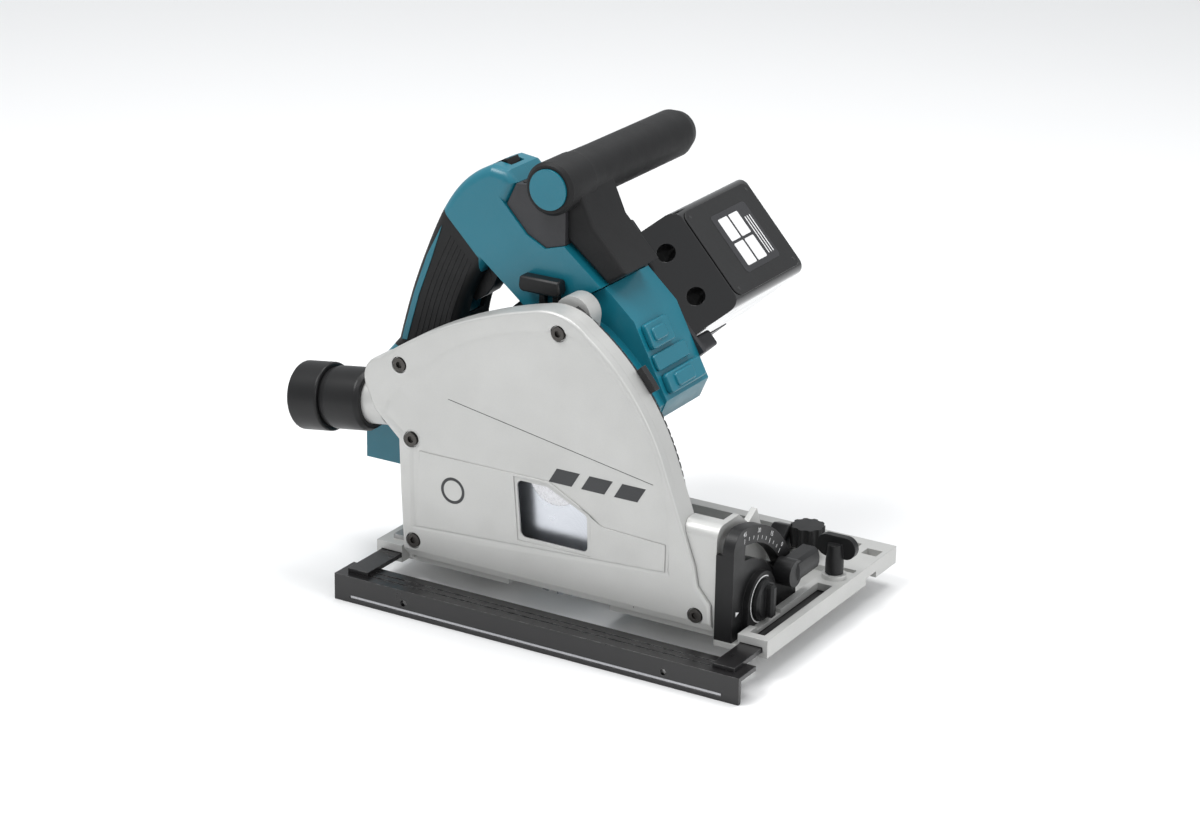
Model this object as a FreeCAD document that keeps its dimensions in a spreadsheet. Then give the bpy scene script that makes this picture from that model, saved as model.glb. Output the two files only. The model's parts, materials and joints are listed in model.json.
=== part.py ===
import FreeCAD, Part
import math
import os
import re
from types import SimpleNamespace

import Sketcher
from FreeCAD import Placement, Rotation, Vector

# Cordless track plunge saw, millimetres.
# Drawing frame: +X is the cutting direction, +Y points from the blade to the motor side, +Z is up and
# Z = 0 is the sole. Every finished sub-part is moved along X by "middle", so the row's origin is the
# centre of the sole.

DIMS = {
    # base casting
    "base_length": 294.5, "base_front": 139.5, "base_width": 181, "floor": 4, "lip_height": 12,
    "front_lip": 21, "rear_lip": 20, "far_lip": 9, "edge_clear": 1.5, "rib_height": 7,
    # guide-rail groove under the base and its two adjusters
    "rail_offset": 53.5, "rail_groove": 15, "rail_depth": 4.5, "rail_land": 3.5, "adjuster_x": 92,
    # guide fence
    "fence_gauge": 3, "fence_reach": 130, "fence_drop": 16, "fence_flange": 22, "fence_length": 300,
    "arm_width": 15.4, "arm_clear": 0.4, "arm_end": 38, "screw_y": 22, "screw_r": 3,
    # planes of the blade side, measured across the saw
    "blade_y": -80.5, "cover_y": -92.5, "parting_y": -85, "case_back_y": -74, "case_wall": 2.5,
    # plunge linkage and blade
    "pivot_x": -87, "pivot_z": 56, "arm_radius": 74, "cut_depth": 56, "blade_r": 82.5,
    "plate_t": 1.6, "blade_gap": 1.5, "bore_r": 10, "teeth": 48,
    # gears
    "gear_teeth": 39, "pinion_teeth": 13, "gear_module": 1, "gear_width": 8,
    # bevel guides, drawn about the line where the blade meets the sole
    "bevel_r": 60, "bevel_slot": 10, "quadrant_r": 76.5, "quadrant_x": 101.5, "quadrant_t": 12.5,
    "bolt_angle": 57, "clamp_bolt_r": 4,
    # motor, handles and batteries
    "motor_r": 36, "motor_end": 8, "handle_near": -50, "handle_far": -6, "front_handle_r": 17.5,
    "front_handle_length": 169, "battery_length": 118, "battery_width": 75, "battery_height": 65,
    "battery_start": 12, "battery_tilt": 42, "mount_height": 35,
    # dust outlet
    "nozzle_r": 23, "nozzle_bore": 19, "nozzle_length": 24,
    # clearances
    "run_gap": 0.05, "free_gap": 0.5,
}

doc = FreeCAD.newDocument("track_plunge_saw")
sheet = doc.addObject("Spreadsheet::Sheet", "dims")
for row, (alias, number) in enumerate(DIMS.items(), start=1):
    sheet.set(f"A{row}", alias)
    sheet.set(f"B{row}", str(number))
    sheet.setAlias(f"B{row}", alias)
doc.recompute()
V = SimpleNamespace(**{alias: float(sheet.get(alias)) for alias in DIMS})

NODES = []
MIDDLE = "base_length / 2 - base_front"
middle = V.base_length / 2 - V.base_front

# ---- places worked out from the driving sizes ---------------------------------------------------
PIVOT = Vector(V.pivot_x, 0, V.pivot_z)
arbor_low = V.blade_r - V.cut_depth
half_swing = math.degrees(math.asin((V.pivot_z - arbor_low) / V.arm_radius))
plunge_travel = 2 * half_swing
ARBOR = PIVOT + Vector(V.arm_radius * math.cos(math.radians(half_swing)), 0,
                       V.arm_radius * math.sin(math.radians(half_swing)))
gear_r = V.gear_teeth * V.gear_module / 2
pinion_r = V.pinion_teeth * V.gear_module / 2
MOTOR_ANGLE = 90 + plunge_travel
MOTOR = ARBOR + Vector(math.cos(math.radians(MOTOR_ANGLE)), 0,
                       math.sin(math.radians(MOTOR_ANGLE))) * (gear_r + pinion_r)
rim_r = V.arm_radius + V.blade_r + V.blade_gap + V.case_wall
base_rear = V.base_front - V.base_length
half_width = V.base_width / 2
GEAR_Y = (-62, -54)
PLATE_Y = (-69.5, -64)
CUP_Y = -52
BOSS_END = -44.5
MOTOR_WALL = 3.5
RIM_DRAWN = 160.5
CASE_REAR = -133.5


# ---- helpers ---------------------------------------------------------------------------------------
def bound(words):
    """A sheet expression: every alias in the words gets the sheet's name in front."""
    return re.sub(r"[a-z][a-z_0-9]*", lambda m: "dims." + m[0] if m[0] in DIMS else m[0], str(words))


def bind(item, prop, words):
    item.setExpression(prop, bound(words))


def block(name, x0, x1, y0, y1, z0, z1):
    """A Part::Box between six sheet expressions."""
    item = doc.addObject("Part::Box", name)
    for prop, low, high in (("Length", x0, x1), ("Width", y0, y1), ("Height", z0, z1)):
        bind(item, prop, f"({high}) - ({low})")
    for prop, low in (("x", x0), ("y", y0), ("z", z0)):
        bind(item, f"Placement.Base.{prop}", low)
    return item


TURN = {"Z": Rotation(), "Y": Rotation(Vector(1, 0, 0), -90), "X": Rotation(Vector(0, 1, 0), 90)}


def rod(name, radius, x, y, z, length, axis="Z"):
    """A Part::Cylinder that starts at (x, y, z) and runs along +axis."""
    item = doc.addObject("Part::Cylinder", name)
    item.Placement = Placement(Vector(), TURN[axis])
    bind(item, "Radius", radius)
    bind(item, "Height", length)
    for prop, place in (("x", x), ("y", y), ("z", z)):
        bind(item, f"Placement.Base.{prop}", place)
    return item


def fuse(name, items):
    item = doc.addObject("Part::MultiFuse", name)
    item.Shapes = items
    item.Refine = True
    return item


def cut(name, base, tool):
    item = doc.addObject("Part::Cut", name)
    item.Base = base
    item.Tool = tool
    item.Refine = True
    return item


def node(item, label):
    """Name a finished sub-part and move it into the row's frame."""
    item.Label = label
    doc.recompute([item])
    item.setExpression("Placement.Base.x", None)
    item.Placement = Placement(Vector(middle, 0, 0), Rotation()).multiply(item.Placement)
    NODES.append(item)
    return item


def solid(shape, label):
    """A sub-part whose shape is made here, from sheet values."""
    item = doc.addObject("Part::Feature", label)
    item.Shape = shape
    return node(item, label)


def wire(points):
    """A closed wire. A step (middle, end) is an arc and a list of points is a smooth curve."""
    edges = []
    here = points[0]
    for step in points[1:] + [points[0]]:
        if isinstance(step, list):
            curve = Part.BSplineCurve()
            curve.interpolate([here] + step)
            edges.append(curve.toShape())
            here = step[-1]
        elif isinstance(step, tuple):
            edges.append(Part.Arc(here, step[0], step[1]).toShape())
            here = step[1]
        elif (step - here).Length > 1e-6:
            edges.append(Part.LineSegment(here, step).toShape())
            here = step
    return Part.Wire(edges)


def placed(points, to_vector):
    """Turn each (a, b) pair of an outline, also inside arcs and curves, into a vector."""
    return [type(p)(to_vector(a, b) for a, b in p) if isinstance(p[0], tuple) else to_vector(*p)
            for p in points]


def flat_face(points, y):
    """A face in the plane at y from an outline of (x, z) points."""
    return Part.Face(wire(placed(points, lambda a, b: Vector(a, y, b))))


def across(points, y0, y1):
    """Extrude an outline of (x, z) points from y0 to y1."""
    return flat_face(points, y0).extrude(Vector(0, y1 - y0, 0))


def along(points, x0, x1):
    """Extrude an outline of (y, z) points from x0 to x1."""
    face = Part.Face(wire(placed(points, lambda a, b: Vector(x0, a, b))))
    return face.extrude(Vector(x1 - x0, 0, 0))


def turned(points, place, rotation=Rotation()):
    """Revolve an outline of (radius, height) points about +Z, then place it."""
    shape = Part.Face(wire([Vector(r, 0, height) for r, height in points]))
    shape = shape.revolve(Vector(), Vector(0, 0, 1), 360)
    shape.Placement = Placement(place, rotation)
    return shape


def tube(radius, start, end):
    return Part.makeCylinder(radius, (end - start).Length, start, end - start)


def at(point, y):
    return Vector(point.x, y, point.z)


def about_pivot(radius, degrees):
    """The (x, z) point at a radius and angle from the plunge pivot."""
    angle = math.radians(degrees)
    return V.pivot_x + radius * math.cos(angle), V.pivot_z + radius * math.sin(angle)


def pivot_ring(inner, outer, low, high, y0, y1):
    """A ring sector about the plunge pivot."""
    centre = (low + high) / 2
    return across([about_pivot(inner, low), about_pivot(outer, low),
                   (about_pivot(outer, centre), about_pivot(outer, high)), about_pivot(inner, high),
                   (about_pivot(inner, centre), about_pivot(inner, low))], y0, y1)


def about_bevel(radius, degrees):
    """The (y, z) point at a radius and an angle from the vertical, towards the motor."""
    angle = math.radians(degrees)
    return V.blade_y + radius * math.sin(angle), radius * math.cos(angle)


def bevel_ring(inner, outer, low, high, x0, x1):
    """A ring sector about the bevel axis, with round ends when inner and outer bound a slot."""
    centre = (low + high) / 2
    return along([about_bevel(inner, low), about_bevel(outer, low),
                  (about_bevel(outer, centre), about_bevel(outer, high)), about_bevel(inner, high),
                  (about_bevel(inner, centre), about_bevel(inner, low))], x0, x1)


def new_body(name):
    return doc.addObject("PartDesign::Body", name)


def sketch(body, role, offset="0"):
    """A sketch on one of the body's own origin planes."""
    item = body.newObject("Sketcher::SketchObject", body.Name + "_sketch")
    plane = next(p for p in body.Origin.OriginFeatures if p.Role == role)
    item.AttachmentSupport = [(plane, "")]
    item.MapMode = "FlatFace"
    bind(item, "AttachmentOffset.Base.z", offset)
    return item


def circle(item, radius, x=0, y=0):
    """A circle whose radius and centre follow sheet expressions."""
    index = item.addGeometry(Part.Circle(Vector(1, 1, 0), Vector(0, 0, 1), 1))
    item.addConstraint(Sketcher.Constraint("Radius", index, 1))
    bind(item, f"Constraints[{item.ConstraintCount - 1}]", radius)
    if x == 0 and y == 0:
        item.addConstraint(Sketcher.Constraint("Coincident", index, 3, -1, 1))
        return
    for kind, place in (("DistanceX", x), ("DistanceY", y)):
        item.addConstraint(Sketcher.Constraint(kind, -1, 1, index, 3, 1))
        bind(item, f"Constraints[{item.ConstraintCount - 1}]", place)


def pad(body, item, length, name="pad"):
    feature = body.newObject("PartDesign::Pad", f"{body.Name}_{name}")
    feature.Profile = item
    bind(feature, "Length", length)
    return feature


def pocket(body, item, length, name="pocket"):
    feature = body.newObject("PartDesign::Pocket", f"{body.Name}_{name}")
    feature.Profile = item
    bind(feature, "Length", length)
    return feature


def polar(body, features, count, axis):
    feature = body.newObject("PartDesign::PolarPattern", body.Name + "_pattern")
    feature.Originals = features
    feature.Axis = (axis, [""])
    feature.Angle = 360
    bind(feature, "Occurrences", count)
    body.Tip = feature
    return feature


def origin_axis(body, role):
    return next(a for a in body.Origin.OriginFeatures if a.Role == role)


def ring_body(name, outer, inner, length, place, rotation):
    """A disc with a round hole, as a PartDesign body, placed along any axis."""
    body = new_body(name)
    item = sketch(body, "XY_Plane")
    circle(item, outer)
    circle(item, inner)
    pad(body, item, length)
    body.Placement = Placement(place, rotation)
    return node(body, name)


# ---- base --------------------------------------------------------------------------------------------
REAR = "base_front - base_length"
NEAR = "blade_y + edge_clear"
FRONT_ARM = "base_front - 11.5"
REAR_ARM = REAR + " + 11.6"
front_arm_x = V.base_front - 11.5
rear_arm_x = base_rear + 11.6
channel_z = V.floor - 1
boss_top = V.lip_height + 3
FOOT_SCREWS = [(V.quadrant_x + 6.5, -72), (V.quadrant_x + 6.5, -14)]
REAR_FOOT_SCREWS = [(base_rear + 11.5, -66), (base_rear + 11.5, -16)]


def make_base_plate():
    """Cast base: floor, raised lips, ribs and bosses, less channels, groove and openings."""
    solids = [
        block("floor_plate", REAR, "base_front", NEAR, "base_width / 2", 0, "floor"),
        block("front_pad", "quadrant_x", "base_front", "-base_width / 2", NEAR, 0, "floor"),
        block("front_lip_bar", "base_front - front_lip", "base_front", "-base_width / 2",
              "base_width / 2", 0, "lip_height"),
        block("rear_lip_bar", REAR, REAR + " + rear_lip", "3.5 - base_width / 2",
              "base_width / 2", 0, "lip_height"),
        block("far_lip_bar", REAR, "base_front", "base_width / 2 - far_lip", "base_width / 2", 0,
              "lip_height"),
        block("rail_land_bar", REAR, "base_front", "rail_offset - rail_groove / 2 - 3",
              "rail_offset + rail_groove / 2 + 3", 0, "rail_depth + rail_land"),
        block("long_rib", REAR, "base_front", -2, 1, 0, "rib_height"),
        block("gear_opening_rib", REAR, "quadrant_x - 40", -39, -36, 0, "rib_height"),
    ]
    for x in (-98, -30, 38):
        solids.append(block("cross_rib", x, x + 3, -39, "base_width / 2", 0, "rib_height"))
    for side in ("adjuster_x", "-adjuster_x"):
        solids.append(rod("adjuster_boss", 9, side, "rail_offset", 0, "lip_height + 3"))
    for arm in (FRONT_ARM, REAR_ARM):
        solids.append(rod("screw_boss", 8, arm, "screw_y", 0, "lip_height + 3"))
    tools = [
        block("gear_opening", -57, 19, "blade_y", -39, -1, "lip_height"),
        block("rail_groove_cut", REAR + " - 1", "base_front + 1", "rail_offset - rail_groove / 2",
              "rail_offset + rail_groove / 2", -1, "rail_depth"),
        block("front_lip_slot", FRONT_ARM + " - 4.5", FRONT_ARM + " + 6", -84, 8, "floor + 2",
              "lip_height + 1"),
        block("dial_notch", "base_front - front_lip - 1", FRONT_ARM + " - 4", -75, -43, 9.5,
              "lip_height + 1"),
        block("corner_pocket", FRONT_ARM + " - 3", FRONT_ARM + " + 8", 67, 77, "floor + 2",
              "lip_height + 1"),
        block("small_pocket", FRONT_ARM + " - 1", FRONT_ARM + " + 8", 34, 39, "floor + 5",
              "lip_height + 1"),
    ]
    for arm in (FRONT_ARM, REAR_ARM):
        tools.append(block("arm_channel", f"{arm} - arm_width / 2 - arm_clear",
                           f"{arm} + arm_width / 2 + arm_clear", "-base_width / 2 - 1",
                           "arm_end + 7", "floor - 1", "floor - 1 + fence_gauge + 2 * arm_clear"))
        tools.append(rod("screw_hole", "screw_r + run_gap", arm, "screw_y", "floor", 20))
    for side in ("adjuster_x", "-adjuster_x"):
        tools.append(rod("adjuster_hole", "screw_r + run_gap", side, "rail_offset", 1, 20))
    for x, y in FOOT_SCREWS:
        tools.append(rod("foot_hole", 2, x, y, -1, 6))
        tools.append(rod("foot_recess", 4, x, y, -1, 4))
    for x, y in REAR_FOOT_SCREWS:
        tools.append(rod("rear_foot_hole", 2, x, y, "lip_height - 4", 5))
    node(cut("base_casting", fuse("base_solids", solids), fuse("base_tools", tools)), "base_plate")


def make_quadrants():
    """Bevel guides: the front one carries the scale, the slot and the stop dial."""
    x0 = V.quadrant_x
    x1 = x0 + V.quadrant_t
    low, high = 4.5, V.bolt_angle + 5.5
    half_slot = V.bevel_slot / 2
    near = -half_width
    end_y = V.blade_y + math.sqrt(V.quadrant_r ** 2 - V.floor ** 2)
    plate = along([(near, V.floor), (near, 62), ((near + 3, 72), about_bevel(V.quadrant_r, 1)),
                   (about_bevel(V.quadrant_r, 45), (end_y, V.floor))], x0 + 4.5, x1)
    plate = plate.fuse(Part.makeBox(6, 4, 57, Vector(x0, near, V.floor)))
    plate = plate.fuse(Part.makeBox(x1 - x0, end_y - near - 1, 4, Vector(x0, near, V.floor)))
    tomb = along([(-77, V.floor), (-77, 24), ((-59, 42), (-41, 24)), (-41, V.floor)], x1, x1 + 4.2)
    plate = plate.fuse(tomb)
    plate = plate.cut(bevel_ring(V.bevel_r - half_slot, V.bevel_r + half_slot, low, high, x0 - 1,
                                 x1 + 5))
    plate = plate.cut(tube(4 + V.run_gap, Vector(x1 - 6, -59, 24), Vector(x1 + 6, -59, 24)))
    for x, y in FOOT_SCREWS:
        plate = plate.cut(tube(2, Vector(x, y, 0), Vector(x, y, V.floor + 8)))
    solid(plate, "front_bevel_guide")

    back, face = base_rear + 16, base_rear + 20.7
    rear = bevel_ring(50, 70, 4, 68, back, face)
    rear = rear.fuse(Part.makeBox(face - back, 30, 22, Vector(back, -38, V.lip_height)))
    rear = rear.fuse(Part.makeBox(face - back, 8, 46, Vector(back, -79, V.lip_height)))
    rear = rear.cut(bevel_ring(V.bevel_r - half_slot, V.bevel_r + half_slot, low, high, back - 1,
                               face + 1))
    rear = rear.fuse(Part.makeBox(face - base_rear - 8, 71, 3, Vector(base_rear + 8, -79,
                                                                      V.lip_height)))
    for x, y in REAR_FOOT_SCREWS:
        rear = rear.cut(tube(2, Vector(x, y, 0), Vector(x, y, V.lip_height + 5)))
    solid(rear.removeSplitter(), "rear_bevel_guide")

    screws = []
    for x, y in FOOT_SCREWS:
        screws.append(tube(2, Vector(x, y, 2.6), Vector(x, y, V.floor + 7.5))
                      .fuse(tube(3.8, Vector(x, y, 0.8), Vector(x, y, 3))))
    for x, y in REAR_FOOT_SCREWS:
        screws.append(tube(2, Vector(x, y, V.lip_height - 3.5), Vector(x, y, V.lip_height + 3))
                      .fuse(tube(3.6, Vector(x, y, V.lip_height + 3),
                                 Vector(x, y, V.lip_height + 5.4))))
    solid(Part.makeCompound(screws), "bevel_guide_screws")


def make_fence():
    """Folded guide rule and its two arms, which slide in the base's channels."""
    top = channel_z + V.arm_clear
    outer = -V.fence_reach - 2
    left = (base_rear + V.base_front) / 2 - V.fence_length / 2
    profile = [(outer, top), (outer, top - V.fence_drop - 2), (outer + V.fence_gauge,
                                                               top - V.fence_drop - 2),
               (outer + V.fence_gauge, top - V.fence_gauge),
               (outer + V.fence_flange, top - V.fence_gauge), (outer + V.fence_flange, top)]
    rule = along(profile, left, left + V.fence_length)
    for x in (-104, 89):
        rule = rule.cut(tube(2.2, Vector(x, outer - 1, top - 9), Vector(x, outer + 4, top - 9)))
    for y in (outer + 7, outer + 13):
        rule = rule.cut(Part.makeBox(V.fence_length - 24, 2, 0.8, Vector(left + 12, y, top - 0.8)))
    rule = rule.cut(Part.makeBox(V.fence_length - 24, 0.8, 2, Vector(left + 12, outer, top - 15)))
    solid(rule, "fence_rule")
    for label, x in (("front_fence_arm", front_arm_x), ("rear_fence_arm", rear_arm_x)):
        arm = block(label, f"{x} - arm_width / 2", f"{x} + arm_width / 2",
                    "4 - fence_reach", "arm_end", "floor - 1 + arm_clear",
                    "floor - 1 + arm_clear + fence_gauge")
        node(arm, label)


def make_fence_screws():
    """Wing screws that clamp the fence arms."""
    for label, x in (("front_fence_screw", front_arm_x), ("rear_fence_screw", rear_arm_x)):
        place = Vector(x, V.screw_y, 0)
        tip = channel_z + V.arm_clear + V.fence_gauge + 0.3
        shape = turned([(0, tip), (V.screw_r, tip), (V.screw_r, boss_top + 0.4),
                        (6, boss_top + 0.4), (6, boss_top + 8), (4.8, boss_top + 20),
                        (0, boss_top + 20)], place)
        wing = across([(-7, 25), (7, 25), ((14, 32.5), (7, 40)), (-7, 40), ((-14, 32.5), (-7, 25))],
                      1, 6)
        wing.Placement = Placement(Vector(x, V.screw_y, 0), Rotation())
        solid(shape.fuse(wing).removeSplitter(), label)


def make_adjusters():
    """Lobed knobs that take up the play on a guide rail."""
    for label, x in (("front_rail_adjuster", V.adjuster_x), ("rear_rail_adjuster", -V.adjuster_x)):
        body = new_body(label)
        item = sketch(body, "XY_Plane")
        circle(item, 11.5)
        pad(body, item, 14)
        stem = sketch(body, "XY_Plane")
        circle(stem, "screw_r")
        lower = pad(body, stem, "lip_height + 3.4 - rail_depth", "stem")
        lower.Reversed = True
        scallop = sketch(body, "XY_Plane", 14)
        circle(scallop, 3, 13.2, 0)
        doc.recompute()
        notch = pocket(body, scallop, 14, "scallop")
        doc.recompute()
        polar(body, [notch], 10, origin_axis(body, "Z_Axis"))
        body.Placement = Placement(Vector(x, V.rail_offset, boss_top + 0.4), Rotation())
        node(body, label)


def make_rail_lock():
    """Sliding catch that holds the saw on a guide rail while it is tilted."""
    z = V.rail_depth + V.rail_land + 0.4
    outline = [(V.rail_offset - 14, z), (V.rail_offset + 10, z), (V.rail_offset + 13, z + 6),
               (V.rail_offset + 8, z + 15), (V.rail_offset - 1, z + 18),
               (V.rail_offset - 11, z + 11)]
    catch = along(outline, 66, 80)
    solid(catch.makeChamfer(1.2, catch.Edges), "rail_lock_slide")


def make_stop_dial():
    """Dial on the front bevel guide that sets the positive bevel stops."""
    x = V.quadrant_x + V.quadrant_t + 4.4
    rotation = TURN["X"]
    dial = turned([(0, -6), (4, -6), (4, 0), (13, 0), (13, 2.6), (11.5, 4), (0, 4)],
                  Vector(x, -59, 24), rotation)
    ridge = Part.makeBox(7, 6, 22, Vector(x + 2, -62, 13))
    solid(dial.fuse(ridge.makeChamfer(1.5, ridge.Edges)).removeSplitter(), "bevel_stop_dial")


# ---- tilting blade case ------------------------------------------------------------------------------
def with_rim(points):
    """Case points, drawn for a rim of RIM_DRAWN, moved about the plunge pivot as the rim grows."""
    grow = rim_r / RIM_DRAWN
    out = []
    for point in points:
        if isinstance(point[0], tuple):
            out.append(tuple(with_rim(point)))
        else:
            x, z = point
            out.append((V.pivot_x + (x - V.pivot_x) * grow, V.pivot_z + (z - V.pivot_z) * grow))
    return out


def case_outline():
    """The blade case seen from the side: an arc about the plunge pivot, a nose and a straight foot."""
    bottom = V.floor + 0.3
    front = with_rim([(98.5, 26), (89, 37), (86.6, 50)])
    top = with_rim([((-13, 196.8), (-32, 196)), ((-95, 174.5), (-148, 143)), ((-160, 133), (-158, 118)),
                    (-153, 106), (-134, 89), (-133, 60)])
    toe = with_rim([(100, bottom), (-130, bottom)])
    return [(toe[0][0], bottom), *front, about_pivot(rim_r, 20),
            (about_pivot(rim_r, 38), about_pivot(rim_r, 55)), *top, (toe[1][0], bottom)]


def case_prism(inset, y0, y1):
    """The case outline, moved inwards, extruded across the saw."""
    face = flat_face(case_outline(), y0)
    if inset:
        face = face.makeOffset2D(-inset, 2)
    return face.extrude(Vector(0, y1 - y0, 0))


COVER_SCREWS = with_rim([(-133, 140.3), (-124.3, 90.8), (-122.5, 20.4), (-14, 184.2), (88.8, 17.5)])
outlet_x, outlet_z = with_rim([(-150, 107)])[0]
OUTLET = Vector(outlet_x, -75, outlet_z)
OUTLET_AXIS = Vector(-math.cos(math.radians(8)), 0, -math.sin(math.radians(8)))
WINDOW = with_rim([(-44, 80), (-21, 80), (8.6, 66.4), (9.5, 41.5), (-40.5, 41.5)])


def outlet_point(distance):
    return OUTLET + OUTLET_AXIS * distance


def chamfer_wedge(lift, x0, x1):
    """The space below the case's slanted lower outside edge."""
    low = V.floor + 0.3
    width = V.blade_y - 2.8 - V.cover_y
    return along([(V.cover_y - 1, low - 5), (V.cover_y - 1, low + width + 1.5 + lift),
                  (V.blade_y - 2.8 + 5, low - 5 + lift + 0.5)], x0, x1)


def make_cover():
    """Removable outer cover with a recessed field, a window and five screw bosses."""
    y0, y1 = V.cover_y, V.parting_y
    shell = case_prism(0, y0, y1)
    rim = [e for e in shell.Edges if abs(e.BoundBox.YMax - y0) < 0.01 and e.BoundBox.ZMax > 5]
    shell = shell.makeFillet(2, rim)
    shell = shell.cut(chamfer_wedge(0, -200, 200))
    cavity = case_prism(V.case_wall, y0 + V.case_wall, y1 + 1)
    cavity = cavity.cut(chamfer_wedge(V.case_wall * 1.4, -200, 200))
    shell = shell.cut(cavity)
    field = [(-142, 116), ((-95, 160), (-27, 184)), ((-8, 186), (9, 178)), ((52, 130), (69, 62)),
             (70, 40), (-124, 29), (-126, 88), (-146, 104)]
    outer = flat_face(with_rim(field), y0 - 0.01)
    inner = outer.makeOffset2D(-2.2, 2)
    inner.translate(Vector(0, 1.2, 0))
    shell = shell.cut(Part.makeLoft([outer.OuterWire, inner.OuterWire], True))
    for x, z in COVER_SCREWS:
        boss = tube(6.5, Vector(x, y0 + 1, z), Vector(x, y1, z))
        shell = shell.fuse(boss.common(case_prism(0, y0 + 1, y1)).cut(chamfer_wedge(0, -200, 200)))
    window = across(WINDOW, y0 - 1, y1)
    corners = [e for e in window.Edges if abs(e.BoundBox.YLength - (y1 - y0 + 1)) < 0.01]
    shell = shell.cut(window.makeFillet(4, corners))
    for x, z in COVER_SCREWS:
        shell = shell.cut(tube(5.6, Vector(x, y0 - 2, z), Vector(x, y0 + 2.2, z)))
        shell = shell.cut(tube(2.5, Vector(x, y0, z), Vector(x, y1 + 1, z)))
    shell = shell.cut(tube(16, outlet_point(-12), outlet_point(40)))
    solid(shell, "blade_cover")

    screws = []
    for x, z in COVER_SCREWS:
        head = tube(4.6, Vector(x, y0 - 0.3, z), Vector(x, y0 + 2.2, z))
        head = head.cut(tube(2.2, Vector(x, y0 - 1, z), Vector(x, y0 + 1.6, z)))
        screws.append(head.fuse(tube(2.5, Vector(x, y0 + 2.2, z), Vector(x, y1 + 9, z))))
    solid(Part.makeCompound(screws), "cover_screws")


def make_inner_case():
    """Inner half of the blade case: rim, back wall with the arc slot, dust outlet and pin boss."""
    y0, y1 = V.parting_y, V.case_back_y
    shell = case_prism(0, y0, y1).cut(case_prism(V.case_wall, y0 - 1, y1 - V.case_wall))
    shell = shell.cut(Part.makeBox(224, y1 - V.case_wall - y0 + 1, 12, Vector(-127.5, y0 - 1, 0)))
    for x, z in COVER_SCREWS:
        boss = tube(6.5, Vector(x, y0, z), Vector(x, y1 - V.case_wall, z))
        shell = shell.fuse(boss.common(case_prism(0, y0, y1)))
    swing = half_swing + 16.5
    shell = shell.cut(pivot_ring(V.arm_radius - 20.5, V.arm_radius + 20.5, -swing, swing,
                                 y1 - V.case_wall - 1, y1 + 1))
    shell = shell.fuse(tube(16, outlet_point(0), outlet_point(32)))
    shell = shell.fuse(tube(11, Vector(V.pivot_x, y1, V.pivot_z),
                            Vector(V.pivot_x, y1 + 2, V.pivot_z)))
    shell = shell.cut(tube(13.2, outlet_point(-6), outlet_point(40)))
    shell = shell.cut(tube(6, Vector(V.pivot_x, y0, V.pivot_z), Vector(V.pivot_x, y1 + 9,
                                                                     V.pivot_z)))
    for x, z in COVER_SCREWS:
        shell = shell.cut(tube(2.5, Vector(x, y0 - 1, z), Vector(x, y0 + 9, z)))
    solid(shell.removeSplitter(), "inner_case")

    head_y = y1 - V.case_wall - 1.8
    pin = tube(6, at(PIVOT, head_y), at(PIVOT, BOSS_END + 2.6))
    pin = pin.fuse(tube(9, at(PIVOT, head_y), at(PIVOT, y1 - V.case_wall)))
    solid(pin, "plunge_pin")
    ring_body("pin_clip", 9, 6, 1.5, at(PIVOT, BOSS_END + 0.3), TURN["Y"])


def make_brackets():
    """Brackets that carry the case on the two bevel guides."""
    front = Part.makeBox(31, 28, 72, Vector(V.quadrant_x - 31.5, -89, 6))
    top = [e for e in front.Edges if e.BoundBox.ZMin > 77 and e.BoundBox.YMax < -80]
    front = front.makeFillet(9, top)
    front = front.cut(case_prism(-0.2, -93, V.case_back_y + 0.2))
    front = front.cut(Part.makeBox(27, 40, 90, Vector(V.quadrant_x - 31.6, V.case_back_y + 0.2, 0)))
    plate = along([(-61.1, 6), (-22, 6), (-22, 42), (-37, 74), (-48, 68), (-61.1, 78)],
                  V.quadrant_x - 4.6, V.quadrant_x - 0.5)
    bolt = about_bevel(V.bevel_r, V.bolt_angle)
    hole = tube(V.clamp_bolt_r + V.run_gap, Vector(V.quadrant_x - 8, *bolt),
                Vector(V.quadrant_x + 1, *bolt))
    solid(front.fuse(plate).cut(hole).removeSplitter(), "front_bracket")

    x0 = base_rear + 21.5
    behind = CASE_REAR - x0
    top = 80 - 0.3 * behind
    rear = along([(V.case_back_y, 14), (-22, 14), (-20, 40), (-34, 48), (V.case_back_y, top)], x0,
                 x0 + 5.5)
    rear = rear.fuse(Part.makeBox(behind + 8, 4, 40, Vector(x0, V.case_back_y, 14)))
    hole = tube(V.clamp_bolt_r + V.run_gap, Vector(x0 - 1, *bolt), Vector(x0 + 7, *bolt))
    solid(rear.cut(hole).removeSplitter(), "rear_bracket")


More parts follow.
